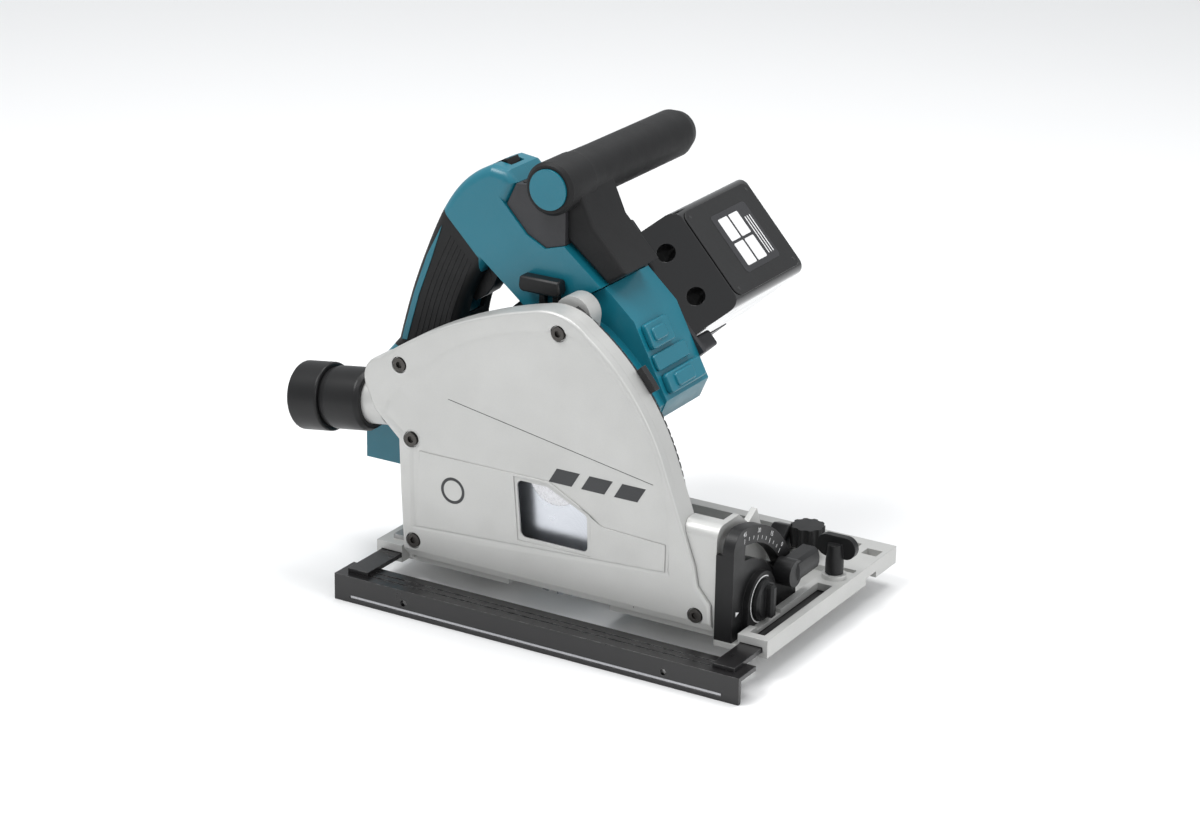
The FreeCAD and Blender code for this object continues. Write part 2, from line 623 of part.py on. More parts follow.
def make_clamps():
    """Front lever and rear knob that lock the bevel angle."""
    y, z = about_bevel(V.bevel_r, V.bolt_angle)
    x = V.quadrant_x + V.quadrant_t
    bolt = tube(V.clamp_bolt_r, Vector(V.quadrant_x - 9.5, y, z), Vector(x + 12, y, z))
    bolt = bolt.fuse(tube(7, Vector(V.quadrant_x - 9.5, y, z), Vector(V.quadrant_x - 5.1, y, z)))
    hub = tube(9, Vector(x + 0.5, y, z), Vector(x + 13, y, z))
    arm = across([(x + 0.5, z - 7), (x + 13, z - 7), (x + 15, z), (x + 13, z + 8),
                  (x + 0.5, z + 8)], y, y + 31)
    arm = arm.makeChamfer(2, arm.Edges)
    solid(bolt.fuse(hub).fuse(arm).removeSplitter(), "bevel_clamp_lever")

    back = base_rear + 16
    bolt = tube(V.clamp_bolt_r, Vector(back - 8, y, z), Vector(back + 15.5, y, z))
    bolt = bolt.fuse(tube(7, Vector(back + 11.2, y, z), Vector(back + 15.5, y, z)))
    knob = tube(12, Vector(back - 12.5, y, z), Vector(back - 0.5, y, z))
    for step in range(6):
        angle = math.radians(60 * step)
        notch = Vector(0, 14.5 * math.cos(angle), 14.5 * math.sin(angle))
        knob = knob.cut(tube(4, Vector(back - 13, y, z) + notch, Vector(back, y, z) + notch))
    solid(bolt.fuse(knob).removeSplitter(), "rear_clamp_knob")


def make_depth_stop():
    """Toothed arc about the plunge pivot, and the stop that moves along it."""
    y0 = V.case_back_y
    scale_t = 2.5
    stop_inner = rim_r + 0.9
    stop_outer = rim_r + 5.5
    plate_y = y0 + scale_t + 0.3
    scale = pivot_ring(rim_r - 7, rim_r - 0.6, 4, 62, y0, y0 + scale_t)
    for step in range(28):
        angle = 5.5 + 2 * step
        x, z = about_pivot(rim_r - 0.2, angle)
        scale = scale.cut(tube(1, Vector(x, y0 - 1, z), Vector(x, y0 + 4, z)))
    solid(scale, "depth_scale")
    stop = pivot_ring(stop_inner, stop_outer, 36, 42, y0 - 1, plate_y)
    stop = stop.fuse(pivot_ring(rim_r - 8, stop_outer, 36, 42, plate_y, plate_y + 1.2))
    solid(stop.removeSplitter(), "depth_stop")


def make_nozzle():
    """Swivelling dust nozzle with its hose collar."""
    rotation = Rotation(Vector(0, 0, 1), OUTLET_AXIS)
    bore = V.nozzle_bore
    end = 70
    collar = end - V.nozzle_length
    shape = turned([(16 + V.run_gap, 14), (19, 14), (21, 18), (21, collar - 4), (20, collar - 4),
                    (20, collar), (bore, collar), (bore, 36), (16 + V.run_gap, 33)],
                   OUTLET, rotation)
    solid(shape, "dust_nozzle")
    sleeve = turned([(bore, collar), (V.nozzle_r - 1, collar), (V.nozzle_r, collar + 1),
                     (V.nozzle_r, end - 1.5), (V.nozzle_r - 1.5, end), (bore, end)],
                    OUTLET, rotation)
    solid(sleeve, "nozzle_collar")


# ---- plunge head ---------------------------------------------------------------------------------------
def stadium(centre_a, radius_a, centre_b, radius_b, y0, y1):
    """The hull of two discs in the XZ plane, from y0 to y1."""
    reach = centre_b - centre_a
    turn = math.atan2(reach.z, reach.x)
    lean = math.acos((radius_a - radius_b) / reach.Length)
    sides = []
    for sign in (1, -1):
        aim = Vector(math.cos(turn + sign * lean), 0, math.sin(turn + sign * lean))
        sides.append((centre_a + aim * radius_a, centre_b + aim * radius_b))
    (a1, b1), (a2, b2) = sides
    away = reach * (1 / reach.Length)
    points = [(a1.x, a1.z), (b1.x, b1.z)]
    tip_b = centre_b + away * radius_b
    tip_a = centre_a - away * radius_a
    points.append(((tip_b.x, tip_b.z), (b2.x, b2.z)))
    points.append((a2.x, a2.z))
    points.append(((tip_a.x, tip_a.z), (a1.x, a1.z)))
    return across(points, y0, y1)


LUG = Vector(-17, 0, 189)



def make_gear_case():
    """Die-cast plunge arm: pivot boss, spindle nose, gear cup and the lug on top."""
    y0, y1 = PLATE_Y
    plate = stadium(PIVOT, 16, ARBOR, 24, y0, y1)
    front = [about_pivot(rim_r - 13, 42), (about_pivot(rim_r - 13, 53), about_pivot(rim_r - 13, 64)),
             (-34, 178), (V.pivot_x - 8, V.pivot_z + 14), (ARBOR.x + 20, ARBOR.z - 12)]
    plate = plate.fuse(across(front, y0, y1))
    plate = plate.fuse(stadium(LUG, 13, LUG + Vector(-4, 0, -22), 14, y0, y1 + 8))
    plate = plate.fuse(tube(18, at(ARBOR, y0 - 5), at(ARBOR, y0)))
    plate = plate.fuse(tube(14, at(PIVOT, y0 - 2), at(PIVOT, BOSS_END)))
    plate = plate.fuse(stadium(ARBOR, 24, MOTOR, 13, y1, CUP_Y))
    plate = plate.cut(stadium(ARBOR, 21, MOTOR, 10, y1 + 1, CUP_Y + 1))
    plate = plate.cut(tube(6 + V.run_gap, at(PIVOT, y0 - 3), at(PIVOT, BOSS_END + 1)))
    plate = plate.cut(tube(14, at(ARBOR, y0 - 4), at(ARBOR, y1 + 1)))
    plate = plate.cut(tube(8, at(ARBOR, y0 - 6), at(ARBOR, y1 + 1)))
    plate = plate.cut(tube(5, at(LUG, y0 - 1), at(LUG, y0 + 9)))
    solid(plate.removeSplitter(), "gear_case")
    solid(tube(5, at(LUG, y0 + 1), at(LUG, y0 + 9)), "stop_bolt")

    cover = stadium(ARBOR, 24, MOTOR, 13, CUP_Y, CUP_Y + 6)
    cover = cover.cut(tube(11, at(ARBOR, CUP_Y - 1), at(ARBOR, CUP_Y + 7)))
    cover = cover.cut(tube(8, at(MOTOR, CUP_Y - 1), at(MOTOR, CUP_Y + 7)))
    solid(cover, "gear_cover")


def make_bearings():
    rings = [
        tube(14, at(ARBOR, PLATE_Y[0] - 3.5), at(ARBOR, PLATE_Y[1] + 0.5)).cut(
            tube(6 + V.run_gap, at(ARBOR, -80), at(ARBOR, -60))),
        tube(11, at(ARBOR, CUP_Y), at(ARBOR, CUP_Y + 6)).cut(
            tube(6 + V.run_gap, at(ARBOR, -60), at(ARBOR, -40))),
    ]
    solid(Part.makeCompound(rings), "spindle_bearings")
    rings = [
        tube(8, at(MOTOR, CUP_Y), at(MOTOR, CUP_Y + 6)).cut(
            tube(4 + V.run_gap, at(MOTOR, -60), at(MOTOR, -40))),
        tube(8, at(MOTOR, V.motor_end - 9), at(MOTOR, V.motor_end - 3)).cut(
            tube(4 + V.run_gap, at(MOTOR, -10), at(MOTOR, 20))),
    ]
    solid(Part.makeCompound(rings), "rotor_bearings")


def gear_prism(teeth, centre, turn, y0, y1):
    """A spur gear with involute flanks, cut a little thin for backlash."""
    module = V.gear_module
    pressure = math.radians(25)
    pitch_r = teeth * module / 2
    base_r = pitch_r * math.cos(pressure)
    root_r = pitch_r - 1.15 * module
    tip_r = pitch_r + 0.8 * module
    half_tooth = math.pi / (2 * teeth) - 0.09 / pitch_r
    flank_start = math.tan(pressure) - pressure
    points = []
    for tooth in range(teeth):
        middle_angle = turn + 2 * math.pi * tooth / teeth
        flank = []
        for step in range(5):
            radius = max(base_r, root_r) + (tip_r - max(base_r, root_r)) * step / 4
            roll = math.acos(min(1, base_r / radius))
            offset = half_tooth + flank_start - (math.tan(roll) - roll)
            flank.append((radius, offset))
        flank.insert(0, (root_r, flank[0][1]))
        for radius, offset in flank:
            points.append((radius, middle_angle - offset))
        for radius, offset in reversed(flank):
            points.append((radius, middle_angle + offset))
    place = [Vector(centre.x + r * math.cos(a), y0, centre.z + r * math.sin(a)) for r, a in points]
    face = Part.Face(Part.makePolygon(place + [place[0]]))
    return face.extrude(Vector(0, y1 - y0, 0))


def make_spindle():
    """Spindle, gear, flanges, blade and bolt, which turn together."""
    blade_face = V.blade_y - V.plate_t / 2
    blade_back = V.blade_y + V.plate_t / 2
    spindle = tube(6, at(ARBOR, blade_face + 0.2), at(ARBOR, CUP_Y + 5.5))
    spindle = spindle.fuse(tube(7.5, at(ARBOR, PLATE_Y[1] + 0.6), at(ARBOR, GEAR_Y[0])))
    spindle = spindle.cut(tube(4, at(ARBOR, blade_face - 1), at(ARBOR, blade_face + 12)))
    solid(spindle, "spindle")
    aim = math.atan2(MOTOR.z - ARBOR.z, MOTOR.x - ARBOR.x)
    gear = gear_prism(int(V.gear_teeth), ARBOR, aim, *GEAR_Y)
    gear = gear.cut(tube(6, at(ARBOR, -70), at(ARBOR, -40)))
    solid(gear, "driven_gear")
    flange = tube(20, at(ARBOR, blade_back), at(ARBOR, blade_back + 3.6))
    flange = flange.fuse(tube(V.bore_r, at(ARBOR, blade_face + 0.2), at(ARBOR, blade_back)))
    solid(flange.cut(tube(6, at(ARBOR, -90), at(ARBOR, -60))), "inner_flange")
    ring_body("outer_flange", 20, 4, 3, at(ARBOR, blade_face - 3), TURN["Y"])
    bolt = tube(7, at(ARBOR, blade_face - 7.6), at(ARBOR, blade_face - 3))
    bolt = bolt.cut(tube(3, at(ARBOR, blade_face - 9), at(ARBOR, blade_face - 5)))
    bolt = bolt.fuse(tube(4, at(ARBOR, blade_face - 3), at(ARBOR, blade_face + 11.5)))
    solid(bolt, "blade_bolt")

    body = new_body("saw_blade")
    disc = sketch(body, "XY_Plane")
    circle(disc, "blade_r")
    circle(disc, "bore_r")
    pad(body, disc, "plate_t")
    gullet = sketch(body, "XY_Plane", "plate_t")
    place = [Vector(V.blade_r + 1, -0.5, 0), Vector(V.blade_r - 4.5, 0.6, 0),
             Vector(V.blade_r - 5, 3.2, 0), Vector(V.blade_r + 1, 7.2, 0)]
    for start, end in zip(place, place[1:] + place[:1]):
        gullet.addGeometry(Part.LineSegment(start, end))
    doc.recompute()
    notch = pocket(body, gullet, "plate_t", "gullet")
    doc.recompute()
    polar(body, [notch], "teeth", origin_axis(body, "Z_Axis"))
    body.Placement = Placement(at(ARBOR, blade_face), TURN["Y"])
    node(body, "saw_blade")


def make_motor():
    """Brushless motor inside the housing."""
    rotor = tube(4, at(MOTOR, GEAR_Y[0] - 0.8), at(MOTOR, V.motor_end - 3.5))
    rotor = rotor.fuse(tube(15, at(MOTOR, -36), at(MOTOR, -10)))
    solid(rotor, "rotor")
    aim = math.atan2(ARBOR.z - MOTOR.z, ARBOR.x - MOTOR.x) + math.pi / V.pinion_teeth
    pinion = gear_prism(int(V.pinion_teeth), MOTOR, aim, *GEAR_Y)
    solid(pinion.cut(tube(4, at(MOTOR, -70), at(MOTOR, -40))), "drive_pinion")
    stator = tube(V.motor_r - MOTOR_WALL, at(MOTOR, -37), at(MOTOR, -9)).cut(tube(15.6, at(MOTOR, -40), at(MOTOR, 0)))
    solid(stator, "stator")
    hub = tube(8, at(MOTOR, -45), at(MOTOR, -39)).cut(tube(4, at(MOTOR, -50), at(MOTOR, -30)))
    fan = hub.fuse(tube(27, at(MOTOR, -40.5), at(MOTOR, -39)).cut(
        tube(7.5, at(MOTOR, -50), at(MOTOR, -30))))
    for step in range(11):
        blade = Part.makeBox(20, 4.5, 1.4, Vector(7, -45, -0.7))
        blade.rotate(Vector(), Vector(0, 1, 0), 360 * step / 11)
        blade.translate(Vector(MOTOR.x, 0, MOTOR.z))
        fan = fan.fuse(blade)
    solid(fan.removeSplitter(), "cooling_fan")


HOUSING = [(-57.5, 140), (-29.5, 190), (-7.5, 203), (14, 184), (39, 136), (33, 122), (0, 98),
           (-38, 100)]
HANDLE = [(-8.2, 203.4), (-36, 226), (-50, 222), (-64, 229), (-80, 246), (-73, 261), (-80, 268),
          (-92, 269.5), [(-116, 253.5), (-140, 212), (-153, 178), (-164, 140)], (-188, 112),
          (-188, 52), (-143.5, 52), (-143.5, 100), (-112, 118), (-58, 140), (-30, 190.5)]
LOOP = [(-95, 205), (-56, 174), [(-52.5, 168), (-53, 158), (-61, 151)], (-99, 140.5),
        [(-110, 140), (-116, 147), (-116, 160), (-108, 184), (-95, 205)]]
TRIGGER_PIVOT = Vector(-101, 0, 205)
DIAL = Vector(-180, 0, 92)
DIAL_R = 11
LEVER_LEGS = (-51, -41)


def make_motor_housing():
    """Motor barrel with the block in front of it that carries the battery mount."""
    barrel = tube(V.motor_r, at(MOTOR, CUP_Y), at(MOTOR, V.motor_end))
    upper = across(HOUSING, -46, V.motor_end)
    nose = across([(-24, 120), (-24, 176), (-12, 180), about_pivot(rim_r - 14, 56),
                   (about_pivot(rim_r - 14, 44), about_pivot(rim_r - 14, 32)), (33, 122), (0, 98)],
                  CUP_Y, -46)
    shape = barrel.fuse(upper).fuse(nose)
    shape = shape.cut(tube(V.motor_r - MOTOR_WALL, at(MOTOR, CUP_Y - 1), at(MOTOR, V.motor_end - 3)))
    shape = shape.cut(tube(8, at(MOTOR, -20), at(MOTOR, V.motor_end - 3)))
    shape = shape.cut(stadium(ARBOR, 24.2, MOTOR, 13.2, CUP_Y - 1, CUP_Y + 6.1))
    shape = shape.cut(tube(24.2, at(ARBOR, -46.5), at(ARBOR, -30)))
    pocket_cut = across([(-22, 150), (-8, 178), (6, 172), (26, 136), (10, 130)], -40, 2)
    shape = shape.cut(pocket_cut)
    for step in range(6):
        slot = Part.makeBox(4, 2.4, 30, Vector(16, -38 + 5.5 * step, 100))
        slot.rotate(Vector(16, 0, 115), Vector(0, 1, 0), 52)
        shape = shape.cut(slot)
    support = tube(12, at(MOTOR, V.motor_end - 9), at(MOTOR, V.motor_end - 3)).cut(
        tube(8, at(MOTOR, -20), at(MOTOR, 20)))
    shape = shape.fuse(support)
    solid(shape.removeSplitter(), "motor_housing")
    board = across([(-15, 150), (-7, 168), (3, 163), (16, 138), (10, 134)], -34, 2)
    solid(board, "motor_controller")


def lever_guide():
    """The lug on the handle that the two legs of the plunge lock slide through."""
    lug = Part.makeBox(20, 8, 6, Vector(-54, -57, 180))
    for x in LEVER_LEGS:
        lug = lug.cut(Part.makeBox(4.6, 4.6, 8, Vector(x - 0.3, -55.1, 179)))
    return lug


def make_handle():
    """Handle halves and the rubber grip over them."""
    y0, y1 = V.handle_near, V.handle_far
    middle_y = (y0 + y1) / 2
    whole = across(HANDLE, y0, y1).cut(across(LOOP, y0 - 1, y1 + 1))
    outside = [e for e in whole.Edges if e.BoundBox.YLength < 0.01 and e.BoundBox.XMax < -72.9
               and e.BoundBox.ZMin > 105 and not (e.BoundBox.XMin > -144 and e.BoundBox.ZMax < 140)]
    whole = whole.makeFillet(7, outside)
    zone = across([(-129, 236), (-100, 207), (-104, 170), (-126, 135), (-172, 135), (-172, 180),
                   (-150, 220)], y0 - 1, y1 + 1)
    loop_grown = [(-92, 210), (-52, 176), (-49, 150), (-100, 137), (-122, 138), ((-113, 181),
                                                                               (-96, 211))]
    core_outer = [(-60, 250), (-90, 265), [(-108, 255), (-124, 234), (-136, 211), (-147, 182),
                                            (-157, 150), (-165, 131)], (-164, 120), (-100, 110),
                  (-50, 140)]
    core = across(core_outer, y0 + 3, y1 - 3).cut(across(loop_grown, y0, y1))
    grip = whole.common(zone).cut(core)
    trigger_room = across([(-90, 212), (-88, 172), (-119, 162), (-127, 172), (-121, 186),
                           (-113, 200), (-108, 212)], -37, -19)
    trigger_room = trigger_room.fuse(tube(2, at(TRIGGER_PIVOT, -40), at(TRIGGER_PIVOT, -16)))
    button_room = across([(-113, 255), (-104, 244), (-80, 262), (-88, 275)], -36, -20)
    dial_room = tube(DIAL_R + 0.5, at(DIAL, -32), at(DIAL, -24))
    dial_room = dial_room.cut(tube(2, at(DIAL, -32), at(DIAL, -24)))
    for label, low, high in (("handle_half_near", y0 - 1, middle_y), ("handle_half_far", middle_y,
                                                                      y1 + 1)):
        half = whole.common(Part.makeBox(300, high - low, 300, Vector(-250, low, 0)))
        half = half.cut(grip).cut(trigger_room).cut(button_room).cut(dial_room)
        half = half.cut(tube(V.motor_r + 0.3, at(MOTOR, -60), at(MOTOR, 20)))
        if low < y0:
            half = half.fuse(lever_guide())
        solid(half.removeSplitter(), label)
    solid(grip.cut(trigger_room).removeSplitter(), "handle_grip")


def make_front_handle():
    """Front tube handle on its slanted bracket, its coloured end cap and the insert below it."""
    axis = Vector(-43.5, 0, 264)
    radius = V.front_handle_r
    start = -57
    length = V.front_handle_length
    shape = turned([(0, 0), (radius - 2, 0), (radius, 2), (radius, 30), (radius - 0.6, 31),
                    (radius - 1, 60), (radius - 1.2, length - 13), (radius - 4, length - 4),
                    (radius - 9, length), (0, length)], at(axis, start), TURN["Y"])
    shape = shape.cut(tube(13.5, at(axis, start - 1), at(axis, start + 1.6)))
    post = across([(-58, 254), (-34, 226.5), (-8, 205.5), (-6.5, 204.4), (7, 214), (-18, 240),
                   (-28, 262)], -45, -2)
    post = post.makeFillet(3, [e for e in post.Edges if e.BoundBox.YLength < 0.01
                               and e.BoundBox.XMin > -40 and e.Length > 12])
    prong = across([(-70, 262), (-58, 250), (-50, 232), (-44, 232), (-34, 258)], -45, -30)
    shape = shape.fuse(post).fuse(prong).removeSplitter()
    solid(shape, "front_handle")
    insert = across([(-36, 226.2), (-50, 222.2), (-64, 229.4), (-79.6, 246.4), (-72.6, 261), (-60, 262),
                     (-36, 248)], V.handle_near + 1.5, V.handle_far - 1.5)
    insert = insert.cut(shape)
    pieces = sorted(insert.Solids, key=lambda s: s.Volume)
    solid(pieces[-1], "handle_insert")
    ring = new_body("handle_cap")
    item = sketch(ring, "XY_Plane")
    circle(item, 13.3)
    pad(ring, item, 3)
    ring.Placement = Placement(at(axis, start - 1.4), TURN["Y"])
    node(ring, "handle_cap")


def in_slope(a, b, y):
    """The point at a down the slope and b out of the label face."""
    angle = math.radians(V.battery_tilt)
    out = Vector(math.cos(angle), 0, math.sin(angle))
    down = Vector(math.sin(angle), 0, -math.cos(angle))
    return down * a + out * b + Vector(0, y, 0)


def tilted_block(low, high, y0, y1):
    """A block in the batteries' own directions: (down the slope, out of the label face)."""
    corners = [(low[0], low[1]), (high[0], low[1]), (high[0], high[1]), (low[0], high[1])]
    points = [in_slope(a, b, 0) for a, b in corners]
    return across([(p.x, p.z) for p in points], y0, y1)


SLOPE = -140
RAIL_SIDES = (-31, 26)
RAIL_W = 5
RAIL_H = 4
RAIL_END = 95
WEDGE_FOOT = 32
WEDGE_LENGTH = 28
mount_low = 51
mount_high = mount_low + V.mount_height


def make_battery_mount():
    """H-shaped battery mount between the two packs, with a terminal block on each face."""
    half = V.battery_width / 2
    gap = V.free_gap
    y0 = V.motor_end
    y1 = V.battery_start - gap
    flange = tilted_block((SLOPE - half - 12, 18), (SLOPE + half + 13, 128), y0, y1)
    flange = flange.cut(tube(V.motor_r - 8, at(MOTOR, y0 - 1), at(MOTOR, y1 + 1)))
    centre = tilted_block((SLOPE - half, mount_low), (SLOPE + half, mount_high), y1,
                          V.battery_start + 100)
    shape = flange.fuse(centre)
    for edge in (SLOPE - half - 12, SLOPE + half + gap):
        shape = shape.fuse(tilted_block((edge, 22), (edge + 12 - gap, 122), y1, 36))
    for low, high in ((mount_high - 6, mount_high + 1), (mount_low - 1, mount_low + 6)):
        shape = shape.cut(tilted_block((SLOPE - 24, low), (SLOPE + 24, high), 30, 90))
    shape = shape.makeFillet(2, [e for e in shape.Edges if e.BoundBox.YLength > 20
                                 and e.BoundBox.YMax < 37])
    for side in RAIL_SIDES:
        for low, high in ((mount_high - 1, mount_high + RAIL_H), (mount_low - RAIL_H, mount_low + 1)):
            shape = shape.fuse(tilted_block((SLOPE + side, low), (SLOPE + side + RAIL_W, high), y1,
                                            RAIL_END))
    solid(shape.removeSplitter(), "battery_mount")
    blocks = []
    for low, high in ((mount_high - 6, mount_high - 0.6), (mount_low + 0.6, mount_low + 6)):
        blocks.append(tilted_block((SLOPE - 22, low), (SLOPE + 22, high), 31, 80))
    solid(Part.makeCompound(blocks), "terminal_blocks")


def pack_wedge(foot, sign, half):
    """The space over a pack's slanted near end."""
    y0 = V.battery_start
    top = foot + sign * V.battery_height
    a = SLOPE - half
    corners = [in_slope(a, foot + sign * WEDGE_FOOT, y0), in_slope(a, top, y0 + WEDGE_LENGTH),
               in_slope(a, top + sign, y0 + WEDGE_LENGTH), in_slope(a, top + sign, y0 - 1),
               in_slope(a, foot + sign * WEDGE_FOOT, y0 - 1)]
    face = Part.Face(Part.makePolygon(corners + [corners[0]]))
    return face.extrude(in_slope(2 * half, 0, 0))


def make_batteries():
    """Two slide-on packs, back to back, each with a release button in its far end."""
    half = V.battery_width / 2
    gap = V.free_gap
    y0 = V.battery_start
    y1 = y0 + V.battery_length
    for label, foot, sign in (("front", mount_high + gap, 1), ("rear", mount_low - gap, -1)):
        top = foot + sign * V.battery_height
        low, high = min(foot, top), max(foot, top)
        pack = tilted_block((SLOPE - half, low), (SLOPE + half, high), y0, y1)
        pack = pack.makeFillet(7, [e for e in pack.Edges if e.BoundBox.YLength > 100])
        pack = pack.cut(pack_wedge(foot, sign, half + 1))
        for side in RAIL_SIDES:
            ends = sorted((foot - sign, foot + sign * RAIL_H))
            pack = pack.cut(tilted_block((SLOPE + side - gap, ends[0]),
                                         (SLOPE + side + RAIL_W + gap, ends[1]), y0 - 1,
                                         RAIL_END + gap))
        for side in (-17, 17):
            start = in_slope(SLOPE + side, foot + sign * (WEDGE_FOOT + 20), y0 + 12)
            end = in_slope(SLOPE + side, foot + sign * (WEDGE_FOOT + 1), y0 + 24)
            pack = pack.cut(tube(6, start, end))
        centre = (low + high) / 2
        room = tilted_block((SLOPE - 14, centre - 8), (SLOPE + 14, centre + 8), y1 - 6, y1 + 1)
        solid(pack.cut(room), f"battery_{label}")
        button = tilted_block((SLOPE - 13.5, centre - 7.5), (SLOPE + 13.5, centre + 7.5), y1 - 2.5,
                              y1 + 1)
        solid(button, f"battery_button_{label}")


def make_controls():
    """Trigger, lock-off button, lock lever and speed dial."""
    trigger = across([(-95.5, 205), (-92, 196), (-97, 185), (-102, 178), (-111, 172), (-117, 176),
                      (-112, 189), (-106.5, 205), ((-101, 210.5), (-95.5, 205))], -36, -20)
    trigger = trigger.cut(tube(2 + V.run_gap, at(TRIGGER_PIVOT, -50), at(TRIGGER_PIVOT, -5)))
    solid(trigger, "trigger")
    solid(tube(2, at(TRIGGER_PIVOT, -40), at(TRIGGER_PIVOT, -16)), "trigger_pin")
    button = across([(-110.5, 256), (-106, 250.2), (-85, 264), (-88.5, 271.5)], -35, -21)
    solid(button, "lock_off_button")
    lever = across([(-64, 197), (-62, 194.5), (-35, 194.5), (-33, 197), (-34, 205), (-63, 205)],
                   -60, -50.6)
    lever = lever.makeChamfer(1.2, lever.Edges)
    for x in LEVER_LEGS:
        lever = lever.fuse(Part.makeBox(4, 4, 20, Vector(x, -54.8, 176)))
    solid(lever.removeSplitter(), "plunge_lock_lever")


def make_speed_dial():
    """Thumb wheel that stands a little out of the rear of the handle's foot."""
    body = new_body("speed_dial")
    item = sketch(body, "XY_Plane")
    circle(item, DIAL_R)
    circle(item, "2 + run_gap")
    pad(body, item, 7)
    scallop = sketch(body, "XY_Plane", 7)
    circle(scallop, 1, DIAL_R + 0.4, 0)
    doc.recompute()
    notch = pocket(body, scallop, 7, "scallop")
    doc.recompute()
    polar(body, [notch], 20, origin_axis(body, "Z_Axis"))
    body.Placement = Placement(at(DIAL, -31.5), TURN["Y"])
    node(body, "speed_dial")


make_base_plate()
make_quadrants()
make_fence()
make_fence_screws()
make_adjusters()
make_rail_lock()
make_stop_dial()
make_cover()
make_inner_case()
make_brackets()
make_clamps()
make_depth_stop()
make_nozzle()
make_gear_case()
make_bearings()
make_spindle()
make_motor()
make_motor_housing()
make_handle()
make_front_handle()
make_battery_mount()
make_batteries()
make_controls()
make_speed_dial()

doc.recompute()
faults = [item.Name for item in doc.Objects if {"Invalid", "Error"} & set(item.State)]
if faults:
    raise RuntimeError("these objects did not build: " + ", ".join(faults))
faults = [item.Label for item in NODES if item.Shape.isNull() or not item.Shape.isValid()]
if faults:
    raise RuntimeError("these sub-parts are not valid: " + ", ".join(faults))
os.makedirs("parts", exist_ok=True)
for item in NODES:
    item.Shape.exportStep(f"parts/{item.Label}.step")
print(len(NODES), "sub-parts, plunge travel", round(plunge_travel, 3), "degrees")
print("arbor", ARBOR, "motor", MOTOR, "middle", middle, "rim", rim_r)
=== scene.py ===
import json
import math

import bpy
from mathutils import Matrix, Vector


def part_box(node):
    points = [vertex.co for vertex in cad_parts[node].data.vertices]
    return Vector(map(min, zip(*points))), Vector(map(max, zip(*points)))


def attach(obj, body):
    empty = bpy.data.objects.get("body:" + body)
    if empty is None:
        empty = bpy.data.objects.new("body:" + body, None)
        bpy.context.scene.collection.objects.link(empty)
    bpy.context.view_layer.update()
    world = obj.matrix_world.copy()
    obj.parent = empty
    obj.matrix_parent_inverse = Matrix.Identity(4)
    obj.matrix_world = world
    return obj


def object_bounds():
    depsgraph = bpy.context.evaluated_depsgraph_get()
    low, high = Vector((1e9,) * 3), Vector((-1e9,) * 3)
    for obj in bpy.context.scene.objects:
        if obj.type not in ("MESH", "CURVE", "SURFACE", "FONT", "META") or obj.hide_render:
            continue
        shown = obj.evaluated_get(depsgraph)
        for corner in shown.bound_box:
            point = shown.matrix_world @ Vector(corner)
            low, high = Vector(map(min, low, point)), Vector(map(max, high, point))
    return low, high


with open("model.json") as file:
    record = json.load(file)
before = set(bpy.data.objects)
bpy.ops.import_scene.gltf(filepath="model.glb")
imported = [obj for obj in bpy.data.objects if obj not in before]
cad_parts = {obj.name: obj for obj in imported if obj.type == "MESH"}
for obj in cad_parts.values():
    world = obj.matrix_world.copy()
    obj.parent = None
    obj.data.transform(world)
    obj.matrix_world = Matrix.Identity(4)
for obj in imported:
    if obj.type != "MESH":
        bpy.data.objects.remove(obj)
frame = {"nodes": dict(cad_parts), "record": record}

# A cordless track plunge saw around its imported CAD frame. Lengths written here are millimetres unless a
# name says otherwise, and mm() turns them into metres.

CAD_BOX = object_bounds()
MM = 0.001
NODES = frame["nodes"]
BODY_OF = {node: body for body, nodes in frame["record"]["behaviour"]["bodies"].items() for node in nodes}
SLOT_OF = {entry["node"]: entry["material_slot"] for entry in frame["record"]["subparts"]}

BASE_FRONT = 139.5
SHIFT_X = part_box("base_plate")[1].x / MM - BASE_FRONT


def mm(x, y, z):
    """A point of the saw's drawing frame, whose X is counted from the case, as metres in the row frame."""
    return Vector(((x + SHIFT_X) * MM, y * MM, z * MM))


